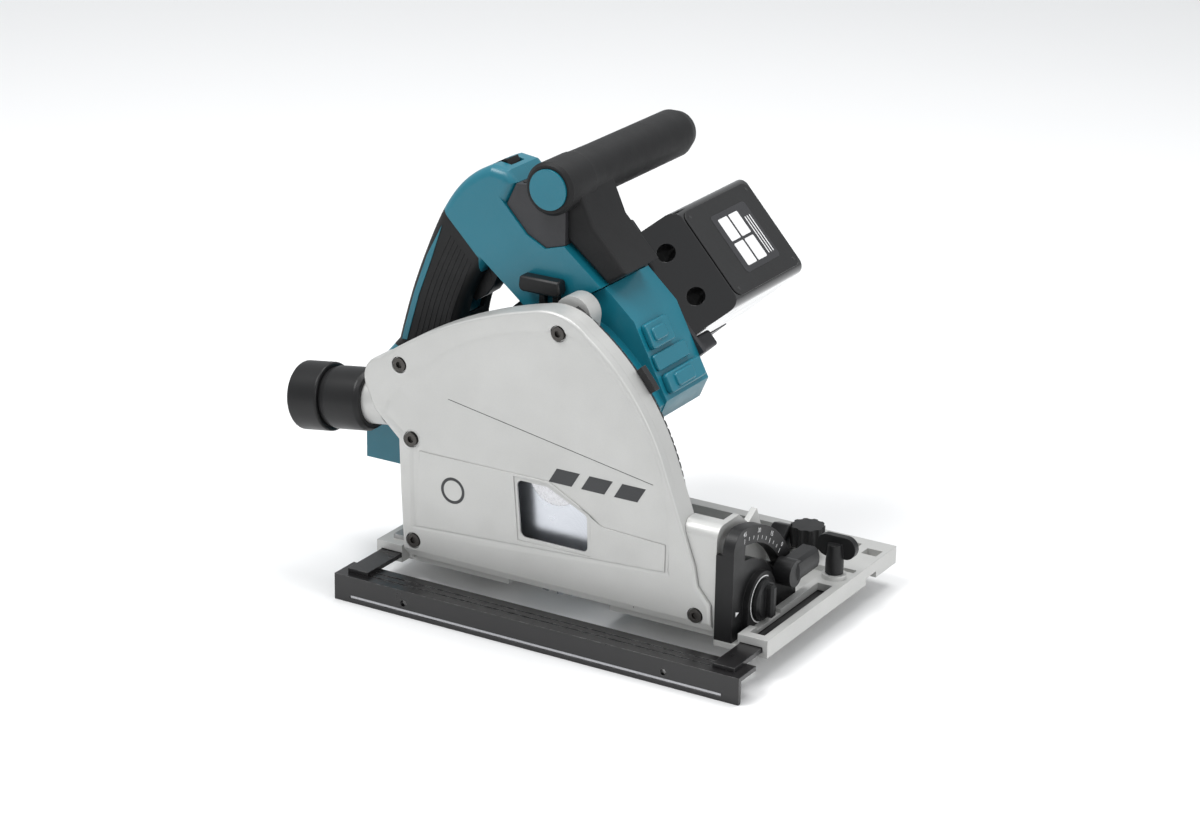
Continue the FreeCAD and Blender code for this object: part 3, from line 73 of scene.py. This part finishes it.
# ---- materials ---------------------------------------------------------------------------------------
class Graph:
    """A material's node tree with short calls for the nodes used here."""

    def __init__(self, name):
        self.material = bpy.data.materials.new(name)
        self.material.use_nodes = True
        self.tree = self.material.node_tree
        self.tree.nodes.clear()
        self.shader = self.add("ShaderNodeBsdfPrincipled")
        output = self.add("ShaderNodeOutputMaterial")
        self.link(self.shader.outputs[0], output.inputs["Surface"])
        self.place = self.add("ShaderNodeTexCoord").outputs["Object"]

    def add(self, kind, **settings):
        node = self.tree.nodes.new(kind)
        for key, value in settings.items():
            setattr(node, key, value)
        return node

    def link(self, source, target):
        self.tree.links.new(source, target)

    def noise(self, scale, detail=3.0, stretch=None):
        node = self.add("ShaderNodeTexNoise")
        node.inputs["Scale"].default_value = scale
        node.inputs["Detail"].default_value = detail
        source = self.place
        if stretch:
            mapping = self.add("ShaderNodeMapping")
            mapping.inputs["Scale"].default_value = stretch
            self.link(source, mapping.inputs["Vector"])
            source = mapping.outputs[0]
        self.link(source, node.inputs["Vector"])
        return node.outputs["Fac"]

    def cells(self, scale):
        node = self.add("ShaderNodeTexVoronoi")
        node.inputs["Scale"].default_value = scale
        self.link(self.place, node.inputs["Vector"])
        return node.outputs["Distance"]

    def spread(self, value, low, high, start=0.3, end=0.7):
        """Map a 0 to 1 texture value onto low to high."""
        node = self.add("ShaderNodeMapRange")
        node.inputs["From Min"].default_value = start
        node.inputs["From Max"].default_value = end
        node.inputs["To Min"].default_value = low
        node.inputs["To Max"].default_value = high
        self.link(value, node.inputs["Value"])
        return node.outputs[0]

    def mix(self, factor, first, second):
        node = self.add("ShaderNodeMix", data_type="RGBA")
        self.link(factor, node.inputs["Factor"])
        for value, socket in ((first, node.inputs[6]), (second, node.inputs[7])):
            if isinstance(value, bpy.types.NodeSocket):
                self.link(value, socket)
            else:
                socket.default_value = (*value, 1)
        return node.outputs[2]

    def bump(self, heights):
        """Stack bumps, each (height, strength, distance in metres), over slightly rounded edges."""
        normal = self.round_normal()
        for height, strength, distance in heights:
            node = self.add("ShaderNodeBump")
            node.inputs["Strength"].default_value = strength
            node.inputs["Distance"].default_value = distance
            self.link(height, node.inputs["Height"])
            self.link(normal, node.inputs["Normal"])
            normal = node.outputs[0]
        self.link(normal, self.shader.inputs["Normal"])

    def round_normal(self, radius=0.0005):
        node = self.add("ShaderNodeBevel", samples=4)
        node.inputs["Radius"].default_value = radius
        return node.outputs[0]

    def edge_mask(self, radius, sharpness):
        """1 on convex and concave edges, 0 on flat stretches."""
        dot = self.add("ShaderNodeVectorMath", operation="DOT_PRODUCT")
        self.link(self.round_normal(radius), dot.inputs[0])
        self.link(self.add("ShaderNodeNewGeometry").outputs["Normal"], dot.inputs[1])
        return self.spread(dot.outputs["Value"], 1.0, 0.0, 1 - sharpness, 1.0)

    def worn(self, colour, edge_wear_and_light_colour, radius=0.0006, sharpness=0.12, amount=0.5):
        """A colour that moves towards a second colour along convex and concave edges, broken up by noise:
        partly scuffed wear, partly painted light, a painted highlight where that colour is lighter and
        painted shade in edges and creases where it is darker.
        """
        edge = self.add("ShaderNodeMath", operation="MULTIPLY")
        self.link(self.edge_mask(radius, sharpness), edge.inputs[0])
        self.link(self.spread(self.noise(260, 4), 0.0, amount, 0.4, 0.65), edge.inputs[1])
        return self.mix(edge.outputs[0], colour, edge_wear_and_light_colour)


def shade(colour, factor):
    return tuple(min(1.0, c * factor) for c in colour)


def moulded(name, colour, roughness, grain, depth, spread=0.06, tint=0.1, coat=0.0, edge_wear_and_light_colour=None,
            specular=0.5):
    """Moulded plastic or rubber: tone drift, fine spark-eroded grain, uneven gloss, and edges lightened
    partly by scuffs and partly as a painted edge highlight.
    """
    graph = Graph(name)
    drift = graph.mix(graph.spread(graph.noise(18, 5), 0, 1), shade(colour, 1 - tint),
                      shade(colour, 1 + tint))
    # edges lighten towards a paler colour: partly scuffs, partly a painted edge highlight
    graph.link(graph.worn(drift, edge_wear_and_light_colour or shade(colour, 1.9)), graph.shader.inputs["Base Color"])
    gloss = graph.spread(graph.noise(55, 6), roughness - spread, roughness + spread)
    graph.link(gloss, graph.shader.inputs["Roughness"])
    graph.bump([(graph.noise(grain, 2), 0.35, depth), (graph.noise(grain / 9, 2), 0.12, depth * 4)])
    graph.shader.inputs["Specular IOR Level"].default_value = specular
    if coat:
        graph.shader.inputs["Coat Weight"].default_value = coat
        graph.shader.inputs["Coat Roughness"].default_value = 0.12
    return graph.material


def cast_paint():
    """Silver paint with fine flakes over a die casting."""
    colour = (0.5, 0.5, 0.485)
    graph = Graph("silver_cast_paint")
    drift = graph.mix(graph.spread(graph.noise(12, 5), 0, 1), shade(colour, 0.94), shade(colour, 1.05))
    flakes = graph.mix(graph.spread(graph.cells(2600), 0, 0.25, 0.15, 0.5), drift, (0.66, 0.66, 0.65))
    # edges and creases darken towards a flat grey: partly worn paint, partly painted shade in the creases
    graph.link(graph.worn(flakes, (0.42, 0.42, 0.42), amount=0.35), graph.shader.inputs["Base Color"])
    graph.link(graph.spread(graph.noise(70, 6), 0.36, 0.5), graph.shader.inputs["Roughness"])
    graph.shader.inputs["Metallic"].default_value = 0.35
    graph.bump([(graph.noise(1500, 2), 0.12, 0.00008), (graph.noise(160, 3), 0.1, 0.0002)])
    return graph.material


def brushed(name, colour, roughness, stretch):
    """Machined or rolled steel with fine lines along one direction and a few scratches."""
    graph = Graph(name)
    lines = graph.noise(300, 4, stretch)
    tone = graph.mix(graph.spread(lines, 0, 1), shade(colour, 0.8), shade(colour, 1.12))
    graph.link(tone, graph.shader.inputs["Base Color"])
    graph.link(graph.spread(lines, roughness - 0.08, roughness + 0.1), graph.shader.inputs["Roughness"])
    graph.shader.inputs["Metallic"].default_value = 1.0
    graph.bump([(lines, 0.12, 0.00005), (graph.noise(40, 6), 0.08, 0.0003)])
    return graph.material


def blade_steel():
    """Ground blade plate: rings about the arbor."""
    low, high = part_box("saw_blade")
    graph = Graph("ground_blade_steel")
    mapping = graph.add("ShaderNodeMapping")
    mapping.inputs["Location"].default_value = -(low + high) / 2
    graph.link(graph.place, mapping.inputs["Vector"])
    rings = graph.add("ShaderNodeTexWave", wave_type="RINGS", rings_direction="Y")
    rings.inputs["Scale"].default_value = 420
    rings.inputs["Distortion"].default_value = 3.0
    graph.link(mapping.outputs[0], rings.inputs["Vector"])
    tone = graph.mix(rings.outputs["Fac"], (0.5, 0.52, 0.56), (0.72, 0.74, 0.78))
    graph.link(tone, graph.shader.inputs["Base Color"])
    graph.link(graph.spread(graph.noise(30, 5), 0.24, 0.36), graph.shader.inputs["Roughness"])
    graph.shader.inputs["Metallic"].default_value = 1.0
    graph.bump([(rings.outputs["Fac"], 0.08, 0.00004)])
    return graph.material


def board():
    """Circuit board lacquer over faint copper tracks."""
    graph = Graph("board_lacquer")
    tracks = graph.add("ShaderNodeTexBrick")
    tracks.inputs["Scale"].default_value = 240
    graph.link(graph.place, tracks.inputs["Vector"])
    tone = graph.mix(tracks.outputs["Fac"], (0.01, 0.1, 0.04), (0.03, 0.2, 0.08))
    graph.link(tone, graph.shader.inputs["Base Color"])
    graph.link(graph.spread(graph.noise(60, 4), 0.3, 0.45), graph.shader.inputs["Roughness"])
    graph.bump([(tracks.outputs["Fac"], 0.3, 0.0001)])
    return graph.material


TEAL = (0.005, 0.15, 0.21)
# the lighter edge colours given below stand partly for scuffs and partly for a painted edge highlight
MATERIALS = {
    "cast_paint": cast_paint(),
    "grey_metal": brushed("zinc_plate", (0.42, 0.42, 0.42), 0.42, (1, 12, 1)),
    "black_guide": moulded("black_nylon", (0.008, 0.008, 0.0085), 0.42, 1400, 0.00008,
                           edge_wear_and_light_colour=(0.05, 0.05, 0.05), specular=0.35),
    "black_steel": moulded("black_enamel", (0.007, 0.0065, 0.007), 0.33, 900, 0.00005, coat=0.15,
                           edge_wear_and_light_colour=(0.3, 0.3, 0.3)),
    "bright_steel": brushed("bright_steel", (0.62, 0.62, 0.64), 0.28, (1, 14, 1)),
    "dark_steel": brushed("black_oxide_steel", (0.09, 0.085, 0.08), 0.38, (1, 1, 10)),
    "stator_core": brushed("laminated_core", (0.34, 0.3, 0.26), 0.45, (1, 60, 1)),
    "teal_plastic": moulded("teal_plastic", TEAL, 0.34, 1100, 0.00007, tint=0.06,
                            edge_wear_and_light_colour=(0.06, 0.33, 0.42), coat=0.12),
    "grip_rubber": moulded("grip_rubber", (0.01, 0.01, 0.0105), 0.56, 700, 0.00022, tint=0.14,
                           edge_wear_and_light_colour=(0.035, 0.035, 0.036), specular=0.3),
    "grey_plastic": moulded("grey_plastic", (0.026, 0.026, 0.029), 0.48, 1000, 0.00012),
    "battery_black": moulded("gloss_black_plastic", (0.003, 0.003, 0.0035), 0.14, 300, 0.00004,
                             spread=0.05, coat=0.6, edge_wear_and_light_colour=(0.03, 0.03, 0.03)),
    "button_red": moulded("red_plastic", (0.36, 0.015, 0.012), 0.35, 900, 0.00006),
    "board_green": board(),
    "white_print": moulded("white_print", (0.8, 0.8, 0.8), 0.5, 900, 0.00003, tint=0.04),
    "dark_print": moulded("dark_print", (0.035, 0.036, 0.038), 0.5, 900, 0.00003),
    "matte_black": moulded("matte_black_plastic", (0.008, 0.008, 0.0085), 0.5, 1500, 0.00014,
                           edge_wear_and_light_colour=(0.06, 0.06, 0.06)),
    # this metal also makes the fence's painted highlight line
    "zinc": brushed("zinc_and_highlight_line", (0.5, 0.5, 0.52), 0.4, (14, 1, 1)),
}
BLADE = blade_steel()


# ---- CAD nodes ---------------------------------------------------------------------------------------
# bevel width in millimetres for each slot whose edges are visibly rounded
SOFT_EDGES = {"grip_rubber": 0.9, "teal_plastic": 0.8, "cast_paint": 0.5, "battery_black": 1.2,
              "grey_plastic": 0.7, "black_guide": 0.6}


SOFT_ANGLE = math.radians(35)
WELD_DISTANCE = 1e-5


def soften(piece, width):
    """Real rounded edges: weld the imported corners, bevel them and even out the shading."""
    weld = piece.modifiers.new("weld", "WELD")
    weld.merge_threshold = WELD_DISTANCE
    bevel = piece.modifiers.new("bevel", "BEVEL")
    bevel.width = width * MM
    bevel.segments = 2
    bevel.limit_method = "ANGLE"
    bevel.angle_limit = SOFT_ANGLE
    bevel.use_clamp_overlap = True
    bevel.harden_normals = False
    normals = piece.modifiers.new("normals", "WEIGHTED_NORMAL")
    normals.keep_sharp = False
    normals.weight = 80


def dress_nodes():
    """Give every CAD node its slot's material, and rounded edges where the slot has them."""
    for name, piece in NODES.items():
        slot = SLOT_OF[name]
        piece.data.materials.clear()
        piece.data.materials.append(BLADE if name == "saw_blade" else MATERIALS[slot])
        if slot in SOFT_EDGES:
            soften(piece, SOFT_EDGES[slot])


# ---- new pieces --------------------------------------------------------------------------------------
FACING_NEAR = Matrix(((1, 0, 0), (0, 0, -1), (0, 1, 0))).to_4x4()
FACING_FAR = Matrix(((-1, 0, 0), (0, 0, 1), (0, 1, 0))).to_4x4()
FACING_FRONT = Matrix(((0, 0, 1), (1, 0, 0), (0, 1, 0))).to_4x4()


def adopt(piece, body, look):
    """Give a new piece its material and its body."""
    piece.data.materials.clear()
    piece.data.materials.append(look)
    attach(piece, body)
    return piece


def to_mesh(source, name, matrix):
    """Turn a curve or text object into a mesh object placed by a matrix."""
    bpy.context.scene.collection.objects.link(source)
    bpy.context.view_layer.update()
    depsgraph = bpy.context.evaluated_depsgraph_get()
    mesh = bpy.data.meshes.new_from_object(source.evaluated_get(depsgraph))
    bpy.data.objects.remove(source)
    mesh.transform(matrix)
    mesh.name = name
    piece = bpy.data.objects.new(name, mesh)
    bpy.context.scene.collection.objects.link(piece)
    return piece


def plate(name, loops, thick, origin, facing, edge=0.15):
    """A flat plate from closed outlines in millimetres, later ones being holes, with eased edges."""
    curve = bpy.data.curves.new(name, "CURVE")
    curve.dimensions = "2D"
    curve.fill_mode = "BOTH"
    curve.extrude = max(thick / 2 - edge, 0.01) * MM
    curve.bevel_depth = edge * MM
    curve.bevel_resolution = 1
    curve.offset = -edge * MM
    for loop in loops:
        spline = curve.splines.new("POLY")
        spline.points.add(len(loop) - 1)
        for point, (u, v) in zip(spline.points, loop):
            point.co = (u * MM, v * MM, 0, 1)
        spline.use_cyclic_u = True
    matrix = Matrix.Translation(origin) @ facing @ Matrix.Translation((0, 0, thick / 2 * MM))
    return to_mesh(bpy.data.objects.new(name, curve), name, matrix)


def cord_line(name, points, radius, closed=False):
    """A thin round bead through points given in metres."""
    curve = bpy.data.curves.new(name, "CURVE")
    curve.dimensions = "3D"
    curve.bevel_depth = radius * MM
    curve.bevel_resolution = 2
    curve.use_fill_caps = True
    spline = curve.splines.new("NURBS")
    spline.points.add(len(points) - 1)
    for point, place in zip(spline.points, points):
        point.co = (*place, 1)
    spline.order_u = 3
    spline.use_endpoint_u = True
    spline.use_cyclic_u = closed
    return to_mesh(bpy.data.objects.new(name, curve), name, Matrix.Identity(4))


def number(name, text, size, origin, facing, turn=0.0):
    """A raised number, centred on its place."""
    font = bpy.data.curves.new(name, "FONT")
    font.body = text
    font.size = size * MM
    font.extrude = 0.08 * MM
    font.align_x = "CENTER"
    font.align_y = "CENTER"
    matrix = Matrix.Translation(origin) @ facing @ Matrix.Rotation(turn, 4, "Z")
    return to_mesh(bpy.data.objects.new(name, font), name, matrix)


def ring(radius, count, start=0.0, sweep=360.0):
    """Points on a circle in millimetres."""
    turns = [math.radians(start + sweep * step / count) for step in range(count + (sweep < 360))]
    return [(radius * math.cos(turn), radius * math.sin(turn)) for turn in turns]


def arc_band(inner, outer, start, sweep, count=24):
    return ring(outer, count, start, sweep) + ring(inner, count, start, sweep)[::-1]


def moved(points, u, v):
    return [(a + u, b + v) for a, b in points]


def rounded(u0, v0, u1, v1, radius, steps=5):
    """A rectangle with round corners."""
    points = []
    for cu, cv, start in ((u1 - radius, v1 - radius, 0), (u0 + radius, v1 - radius, 90),
                          (u0 + radius, v0 + radius, 180), (u1 - radius, v0 + radius, 270)):
        points += moved(ring(radius, steps, start, 90), cu, cv)
    return points


COVER_FIELD_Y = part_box("blade_cover")[0].y / MM + 1.2


def cover_details():
    """Raised lower panel, score lines and plain stripes on the blade cover."""
    origin = mm(0, COVER_FIELD_Y, 0)
    outline = [(-121, 31), (66, 41.5), (66, 60), (20, 62), (2, 73), (-20, 84), (-118, 84)]
    window = [(-46, 82), (-21, 82), (11, 67.4), (12, 39.5), (-42.5, 39)]
    piece = plate("cover_lower_panel", [outline, window], 0.7, origin, FACING_NEAR, 0.3)
    adopt(piece, "case", MATERIALS["cast_paint"])
    for index, (start, end) in enumerate((((-96, 124), (56, 98)), ((30, 50), (44, 12)))):
        line = [mm(start[0], COVER_FIELD_Y, start[1]), mm(end[0], COVER_FIELD_Y, end[1])]
        middle = (line[0] + line[1]) / 2
        piece = cord_line(f"cover_score_line_{index}", [line[0], middle, line[1]], 0.22)
        adopt(piece, "case", MATERIALS["dark_print"])
    for index in range(3):
        left = -20 + 24 * index
        stripe = [(left, 84), (left + 17, 84), (left + 23, 94), (left + 6, 94)]
        piece = plate(f"cover_stripe_{index}", [stripe], 0.15, origin, FACING_NEAR, 0.03)
        adopt(piece, "case", MATERIALS["dark_print"])
    panel = mm(-92, COVER_FIELD_Y - 0.7, 62)
    piece = plate("cover_blade_mark", [ring(9, 40), ring(7, 40)], 0.12, panel, FACING_NEAR, 0.02)
    adopt(piece, "case", MATERIALS["dark_print"])


TOMB_FACE_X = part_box("front_bevel_guide")[1].x / MM - SHIFT_X
TOMB_RISE = 4.2
GUIDE_FACE_X = TOMB_FACE_X - TOMB_RISE
BEVEL_AXIS_Y = -80.5
DIAL_PLACE = (-59, 24)


def guide_details():
    """Bevel scale, numbers, zero mark and the ring about the stop dial."""
    scale = mm(GUIDE_FACE_X, BEVEL_AXIS_Y, 0)
    for degree in range(0, 46, 5):
        lean = math.radians(48 - degree)
        inner = 67.5 if degree % 15 else 66.5
        start = (math.sin(lean) * inner, math.cos(lean) * inner)
        end = (math.sin(lean) * 69.8, math.cos(lean) * 69.8)
        side = (0.25 * math.cos(lean), -0.25 * math.sin(lean))
        tick = [(start[0] - side[0], start[1] - side[1]), (end[0] - side[0], end[1] - side[1]),
                (end[0] + side[0], end[1] + side[1]), (start[0] + side[0], start[1] + side[1])]
        piece = plate(f"bevel_tick_{degree}", [tick], 0.12, scale, FACING_FRONT, 0.02)
        adopt(piece, "base", MATERIALS["white_print"])
        if degree % 15 == 0:
            place = scale + Vector((0.0001, math.sin(lean) * 72.8 * MM, math.cos(lean) * 72.8 * MM))
            piece = number(f"bevel_number_{degree}", str(degree), 4.2, place, FACING_FRONT, -lean)
            adopt(piece, "base", MATERIALS["white_print"])
    face = mm(TOMB_FACE_X, *DIAL_PLACE)
    piece = plate("dial_ring_mark", [arc_band(14.6, 15.4, 60, 240, 40)], 0.12, face, FACING_FRONT, 0.02)
    adopt(piece, "base", MATERIALS["white_print"])
    pointer = mm(GUIDE_FACE_X, -84, 22)
    piece = plate("dial_zero_mark", [[(-2, -1.6), (2.4, 0), (-2, 1.6)]], 0.12, pointer, FACING_FRONT, 0.02)
    adopt(piece, "base", MATERIALS["white_print"])


GRIP_BACK = [(-129, 226), (-141, 203), (-151, 176), (-159, 149), (-161, 141)]
GRIP_FRONT = [(-103, 200), (-108, 188), (-116, 168), (-120, 150), (-124, 141)]


def between(first, second, share):
    """The line that lies a share of the way from the first line to the second."""
    return [(a[0] + (b[0] - a[0]) * share, a[1] + (b[1] - a[1]) * share) for a, b in zip(first, second)]


def grip_details():
    """Ribs moulded into both faces of the rubber grip and the coloured inlay along its back."""
    low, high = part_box("handle_grip")
    faces = (("near", low.y / MM, FACING_NEAR, 1), ("far", high.y / MM, FACING_FAR, -1))
    for side, y, facing, sign in faces:
        for index in range(7):
            path = between(GRIP_BACK, GRIP_FRONT, 0.3 + 0.1 * index)
            points = [mm(x, y + 0.12 * sign, z) for x, z in path]
            piece = cord_line(f"grip_rib_{side}_{index}", points, 0.42)
            adopt(piece, "head", MATERIALS["grip_rubber"])
        outer = between(GRIP_BACK, GRIP_FRONT, 0.05)
        inner = between(GRIP_BACK, GRIP_FRONT, 0.16)
        inner[0] = outer[0]
        band = [(x * sign, z) for x, z in outer + inner[::-1][:-1]]
        origin = mm(0, y, 0)
        piece = plate(f"grip_inlay_{side}", [band], 0.5, origin, facing, 0.2)
        adopt(piece, "head", MATERIALS["teal_plastic"])


TILT = math.radians(42)
OUT = Vector((math.cos(TILT), 0, math.sin(TILT)))
DOWN = Vector((math.sin(TILT), 0, -math.cos(TILT)))


def slope_point(a, b, y):
    """The point at a down the packs' slope and b out of the front pack's label face."""
    return mm(0, y, 0) + (DOWN * a + OUT * b) * MM


def slope_facing(sign):
    """Axes for a plate on a pack's label face: along the saw's width, then up or down the slope."""
    outward = OUT * sign
    across = Vector((0, 1, 0))
    up = outward.cross(across)
    return Matrix((across, up, outward)).transposed().to_4x4()


def battery_details():
    """Matt lid, plain label and screw caps on each pack."""
    for label, b, sign in (("front", 151.5, 1), ("rear", -14.5, -1)):
        body = f"battery_{label}"
        facing = slope_facing(sign)
        origin = slope_point(-140, b, 0)
        lid = rounded(41.5, -33, 128.5, 33, 7)
        piece = plate(f"pack_lid_{label}", [lid], 0.8, origin, facing, 0.35)
        adopt(piece, body, MATERIALS["matte_black"])
        top = origin + OUT * sign * 0.8 * MM
        piece = plate(f"pack_label_{label}", [rounded(66, -22, 112, 22, 3)], 0.15, top, facing, 0.03)
        adopt(piece, body, MATERIALS["grey_plastic"])
        top = top + OUT * sign * 0.15 * MM
        for row, (u0, u1) in enumerate(((72, 84), (86, 98))):
            for column, (v0, v1) in enumerate(((-18, -1), (1, 18))):
                field = rounded(u0, v0, u1, v1, 1)
                piece = plate(f"pack_label_field_{label}_{row}_{column}", [field], 0.08, top, facing,
                              0.02)
                adopt(piece, body, MATERIALS["white_print"])
        for row in range(3):
            bar = rounded(101.5 + 3 * row, -17, 102.6 + 3 * row, 12, 0.5)
            piece = plate(f"pack_label_bar_{label}_{row}", [bar], 0.08, top, facing, 0.02)
            adopt(piece, body, MATERIALS["white_print"])
        for index, (u, v) in enumerate(((47, -28), (47, 28), (123, -28), (123, 28))):
            place = slope_point(-140, b + sign * 0.8, 0)
            piece = plate(f"pack_screw_cap_{label}_{index}", [moved(ring(1.3, 16), u, v)], 0.1, place,
                          facing, 0.02)
            adopt(piece, body, MATERIALS["battery_black"])


FRONT_SLOPE_TOP = (14, 184)
FRONT_SLOPE_FOOT = (39, 136)


def housing_details():
    """Stepped pads on the slanted front face of the motor housing."""
    run = Vector((FRONT_SLOPE_FOOT[0] - FRONT_SLOPE_TOP[0], 0, FRONT_SLOPE_FOOT[1] - FRONT_SLOPE_TOP[1]))
    run.normalize()
    across = Vector((0, 1, 0))
    outward = run.cross(across)
    facing = Matrix((across, -run, outward)).transposed().to_4x4()
    origin = mm(FRONT_SLOPE_TOP[0], 0, FRONT_SLOPE_TOP[1])
    pads = (("upper", (-42, -21, -14, -4), 4.0), ("upper_step", (-38, -17, -22, -8), 5.5),
            ("middle", (-44, -35, -4, -24), 2.6), ("lower", (-42, -51, 2, -38), 4.4),
            ("lower_step", (-34, -49, -12, -40), 6.0))
    for name, (u0, v0, u1, v1), thick in pads:
        piece = plate(f"housing_pad_{name}", [rounded(u0, v0, u1, v1, 2.5)], thick, origin, facing, 0.9)
        adopt(piece, "head", MATERIALS["teal_plastic"])


def seam_ring(name, y, radius, place):
    """A thin dark groove ring around the front handle."""
    points = [mm(place[0] + u, y, place[1] + v) for u, v in ring(radius, 48)]
    piece = cord_line(name, points, 0.35, closed=True)
    adopt(piece, "head", MATERIALS["matte_black"])


COLLAR_SEAM = 31
SEAM_SINK = 0.3


def handle_details():
    """The collar seam around the front handle, near its cap."""
    low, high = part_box("handle_cap")
    centre = ((low.x + high.x) / 2 / MM - SHIFT_X, (low.z + high.z) / 2 / MM)
    radius = (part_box("front_handle")[1].z - (low.z + high.z) / 2) / MM
    seam_ring("front_handle_seam", low.y / MM + COLLAR_SEAM, radius - SEAM_SINK, centre)


def fence_details():
    """A bright metal strip in the fence's front groove, standing in for the highlight line along the
    fence's fold edge: a painted highlight.
    """
    low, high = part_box("fence_rule")
    inset = 12.4
    far_end = (high.x - low.x) / MM - inset
    strip = [(inset, 0.15), (far_end, 0.15), (far_end, 1.85), (inset, 1.85)]
    origin = Vector((low.x, low.y + 0.7 * MM, low.z + 3 * MM))
    piece = plate("fence_highlight_line", [strip], 0.4, origin, FACING_NEAR, 0.05)
    adopt(piece, "fence", MATERIALS["zinc"])


# ---- stage -------------------------------------------------------------------------------------------
def stage():
    """A plain pale floor just under the lowest point of the saw."""
    bpy.ops.mesh.primitive_plane_add(size=8)
    floor = bpy.context.object
    floor.name = "floor"
    floor.location = (0, 0, CAD_BOX[0].z - 0.0002)
    graph = Graph("pale_floor")
    graph.link(graph.spread(graph.noise(3, 3), 0.55, 0.65), graph.shader.inputs["Roughness"])
    graph.shader.inputs["Base Color"].default_value = (0.9, 0.9, 0.9, 1)
    graph.shader.inputs["Specular IOR Level"].default_value = 0.2
    floor.data.materials.append(graph.material)


def lamp(name, place, size, power, target=(0, 0, 0.12)):
    light = bpy.data.lights.new(name, "AREA")
    light.shape = "RECTANGLE"
    light.size = size[0]
    light.size_y = size[1]
    light.energy = power
    item = bpy.data.objects.new(name, light)
    item.location = place
    aim = Vector(target) - Vector(place)
    item.rotation_euler = aim.to_track_quat("-Z", "Y").to_euler()
    bpy.context.scene.collection.objects.link(item)


def lights():
    """A pale sky and three soft lamps."""
    world = bpy.data.worlds.new("studio")
    bpy.context.scene.world = world
    world.use_nodes = True
    back = world.node_tree.nodes["Background"]
    back.inputs["Color"].default_value = (0.96, 0.98, 1.0, 1)
    back.inputs["Strength"].default_value = 0.62
    lamp("key", (-0.7, -0.9, 2.0), (1.0, 0.8), 26)
    lamp("side", (1.9, -0.3, 0.9), (0.5, 1.2), 8)
    lamp("top", (0.1, 0.5, 1.8), (1.2, 0.8), 16)


CAMERA_YAW = math.radians(30.45)
CAMERA_PITCH = math.radians(20.48)
CAMERA_ROLL = math.radians(1.0)
CAMERA_PLACE = (1.01675, -1.7791, 0.8717)
CAMERA_LENS = 100.74


def camera():
    data = bpy.data.cameras.new("camera")
    data.lens = CAMERA_LENS
    data.sensor_width = 36
    item = bpy.data.objects.new("camera", data)
    item.matrix_world = (Matrix.Translation(CAMERA_PLACE) @ Matrix.Rotation(CAMERA_YAW, 4, "Z")
                         @ Matrix.Rotation(math.pi / 2 - CAMERA_PITCH, 4, "X")
                         @ Matrix.Rotation(CAMERA_ROLL, 4, "Z"))
    bpy.context.scene.collection.objects.link(item)
    bpy.context.scene.camera = item


dress_nodes()
cover_details()
guide_details()
grip_details()
battery_details()
fence_details()
housing_details()
handle_details()
stage()
lights()
camera()
bpy.context.scene.view_settings.view_transform = "Standard"
